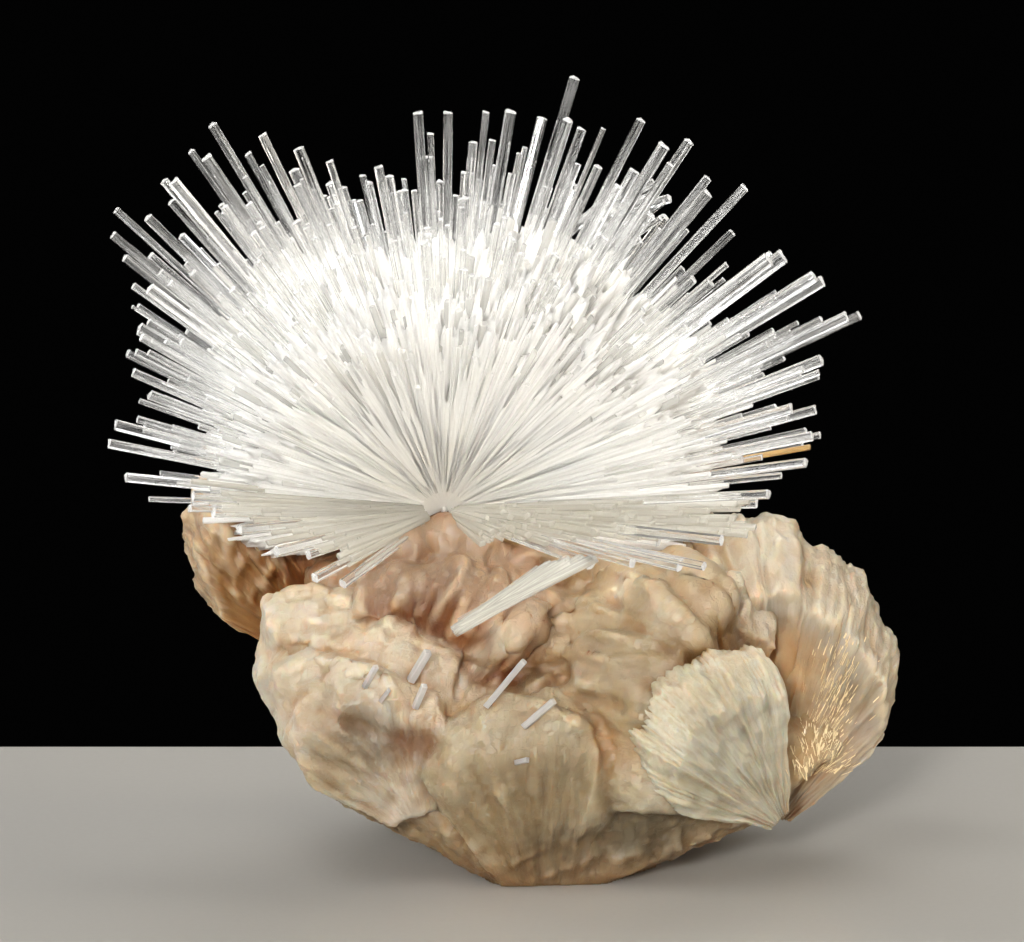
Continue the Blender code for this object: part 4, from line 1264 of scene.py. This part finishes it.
def milky_core():
    """Scolecite where needles grow side by side: snow white, light wanders deep into it, and fine
    lines run away from the root. Near the root it is painted a beige-grey shade, warmed as by light
    thrown up from the matrix."""
    material, add, shader = new_finish("scolecite_milky_core")
    place = add("TexCoord", output="Object")
    away = add("Mapping", {"Vector": place, "Location": tuple(-ROOT * MM)})
    ray = add("VectorMath", {0: away}, operation="NORMALIZE")
    lines = add("TexNoise", {"Vector": ray, "Scale": 70, "Detail": 3, "Roughness": 0.6})
    far = add("VectorMath", {0: away}, "Value", operation="LENGTH")
    # Painted shade near the root: beige-grey, warmed as by light from the matrix, fading to white.
    near = add("MapRange", {"Value": far, "From Min": 3 * MM, "From Max": 22 * MM,
                            "To Min": 0.45, "To Max": 0})
    share = add("MapRange", {"Value": lines, "From Min": 0.35, "From Max": 0.65})
    white = add("Mix", {0: share, 6: linear("#DDDBD6"), 7: linear("#ECEBE7")}, 2,
                data_type="RGBA")
    colour = add("Mix", {0: near, 6: white, 7: linear("#D6CFBF")}, 2, data_type="RGBA")
    bump = add("Bump", {"Height": lines, "Strength": 0.18, "Distance": 0.6 * MM})
    fill(shader, {"Base Color": colour, "Normal": bump, "Roughness": 0.5,
                  "Subsurface Weight": 0.8, "Subsurface Radius": (1, 1, 1),
                  "Subsurface Scale": 6 * MM})
    return material


# The floor board: its size and place, its colour, roughness, and the size of its speckle.
FLOOR_SIZE = (0.9, 0.36, 0.012)
FLOOR_PLACE = (0, -0.09, -0.0061)
FLOOR_COLOUR = "#B9B6B0"
FLOOR_ROUGHNESS = 0.35
SPECKLE = 1.1 * MM


def painted_board():
    """Satin painted board, for the floor."""
    material, add, shader = new_finish("satin_painted_board")
    place = add("TexCoord", output="Object")
    speckle = add("TexNoise", {"Vector": place, "Scale": 1 / SPECKLE})
    rough = add("MapRange", {"Value": speckle, "To Min": FLOOR_ROUGHNESS - 0.05,
                             "To Max": FLOOR_ROUGHNESS + 0.05})
    fill(shader, {"Roughness": rough, "Base Color": linear(FLOOR_COLOUR)})
    return material


# Stage

def floor():
    """A pale board under the specimen."""
    bpy.ops.mesh.primitive_cube_add(size=1)
    board = bpy.context.object
    only(board)
    board.dimensions = FLOOR_SIZE
    board.location = FLOOR_PLACE
    bpy.ops.object.transform_apply(location=True, rotation=True, scale=True)
    board.name = "floor_board"
    give([board], painted_board())


def place_looking(data, place, aim):
    """Puts a lamp or the camera at a place, looking along an aim."""
    made = bpy.data.objects.new(data.name, data)
    made.location = place
    made.rotation_mode = "QUATERNION"
    made.rotation_quaternion = aim.to_track_quat("-Z", "Y")
    bpy.context.scene.collection.objects.link(made)
    return made


# Large soft boxes over a dark room, as for clear crystals: name, place and size in metres,
# power in watts, colour, and where it needs them, its target and its spread in degrees.
LAMPS = (
    ("key_above", (-0.24, -0.34, 0.56), (0.40, 0.40), 1.6, "#FFFFFF"),
    ("top_back", (0.05, 0.28, 0.50), (0.60, 0.30), 1.2, "#FFFFFF"),
    ("right", (0.52, -0.06, 0.26), (0.20, 0.40), 1.3, "#FFF6E8"),
    ("left_rim", (-0.52, 0.16, 0.22), (0.16, 0.45), 0.9, "#FFFFFF"),
    ("front_low", (0.10, -0.75, 0.10), (0.50, 0.30), 0.7, "#FFFAF2"),
    ("gridded_front", (-0.14, -0.60, 0.28), (0.30, 0.30), 0.27, "#FFFDF9",
     (-0.016, -0.01, 0.086), 12),
)
DARK_ROOM = (0.0008, 0.0008, 0.0008, 1)


def lamp(name, place, size, power, colour, target=(0, 0, 0.07), spread=180):
    """One soft box that faces its target."""
    data = bpy.data.lights.new(name, "AREA")
    set_all(data, shape="RECTANGLE", size=size[0], size_y=size[1], energy=power,
            spread=math.radians(spread), color=linear(colour)[:3])
    place_looking(data, place, Vector(target) - Vector(place))


def studio():
    """The lamps and the dark room around them."""
    for settings in LAMPS:
        lamp(*settings)
    world = bpy.data.worlds.new("dark_room")
    world.use_nodes = True
    world.node_tree.nodes["Background"].inputs["Color"].default_value = DARK_ROOM
    bpy.context.scene.world = world


def camera():
    """The photograph's view: level with the spray, a little above it."""
    data = bpy.data.cameras.new("camera")
    set_all(data, lens=LENS, sensor_width=SENSOR, clip_start=0.01)
    place = CAMERA_TARGET + CAMERA_BACK * CAMERA_DISTANCE
    bpy.context.scene.camera = place_looking(data, place, -CAMERA_BACK)


def light_paths():
    """Enough bounces for light to find its way through stacked clear prisms."""
    scene = bpy.context.scene
    set_all(scene.cycles, max_bounces=12, transmission_bounces=12, glossy_bounces=6)
    scene.view_settings.view_transform = "Standard"


def main():
    """Builds the specimen, gives each piece its finish, and sets the stage."""
    surface = surface_of(stilbite_matrix())
    pieces = {kind: [piece] for kind, piece in scolecite_spray(surface).items()}
    pieces["blades"] = [side_sheaf(surface)]
    pieces["prisms"] = single_needles(surface)
    give(pieces.pop("core") + pieces.pop("wall"), milky_core())
    for kind, same in pieces.items():
        give(same, scolecite(*SCOLECITE[kind]))
    floor()
    studio()
    camera()
    light_paths()


main()
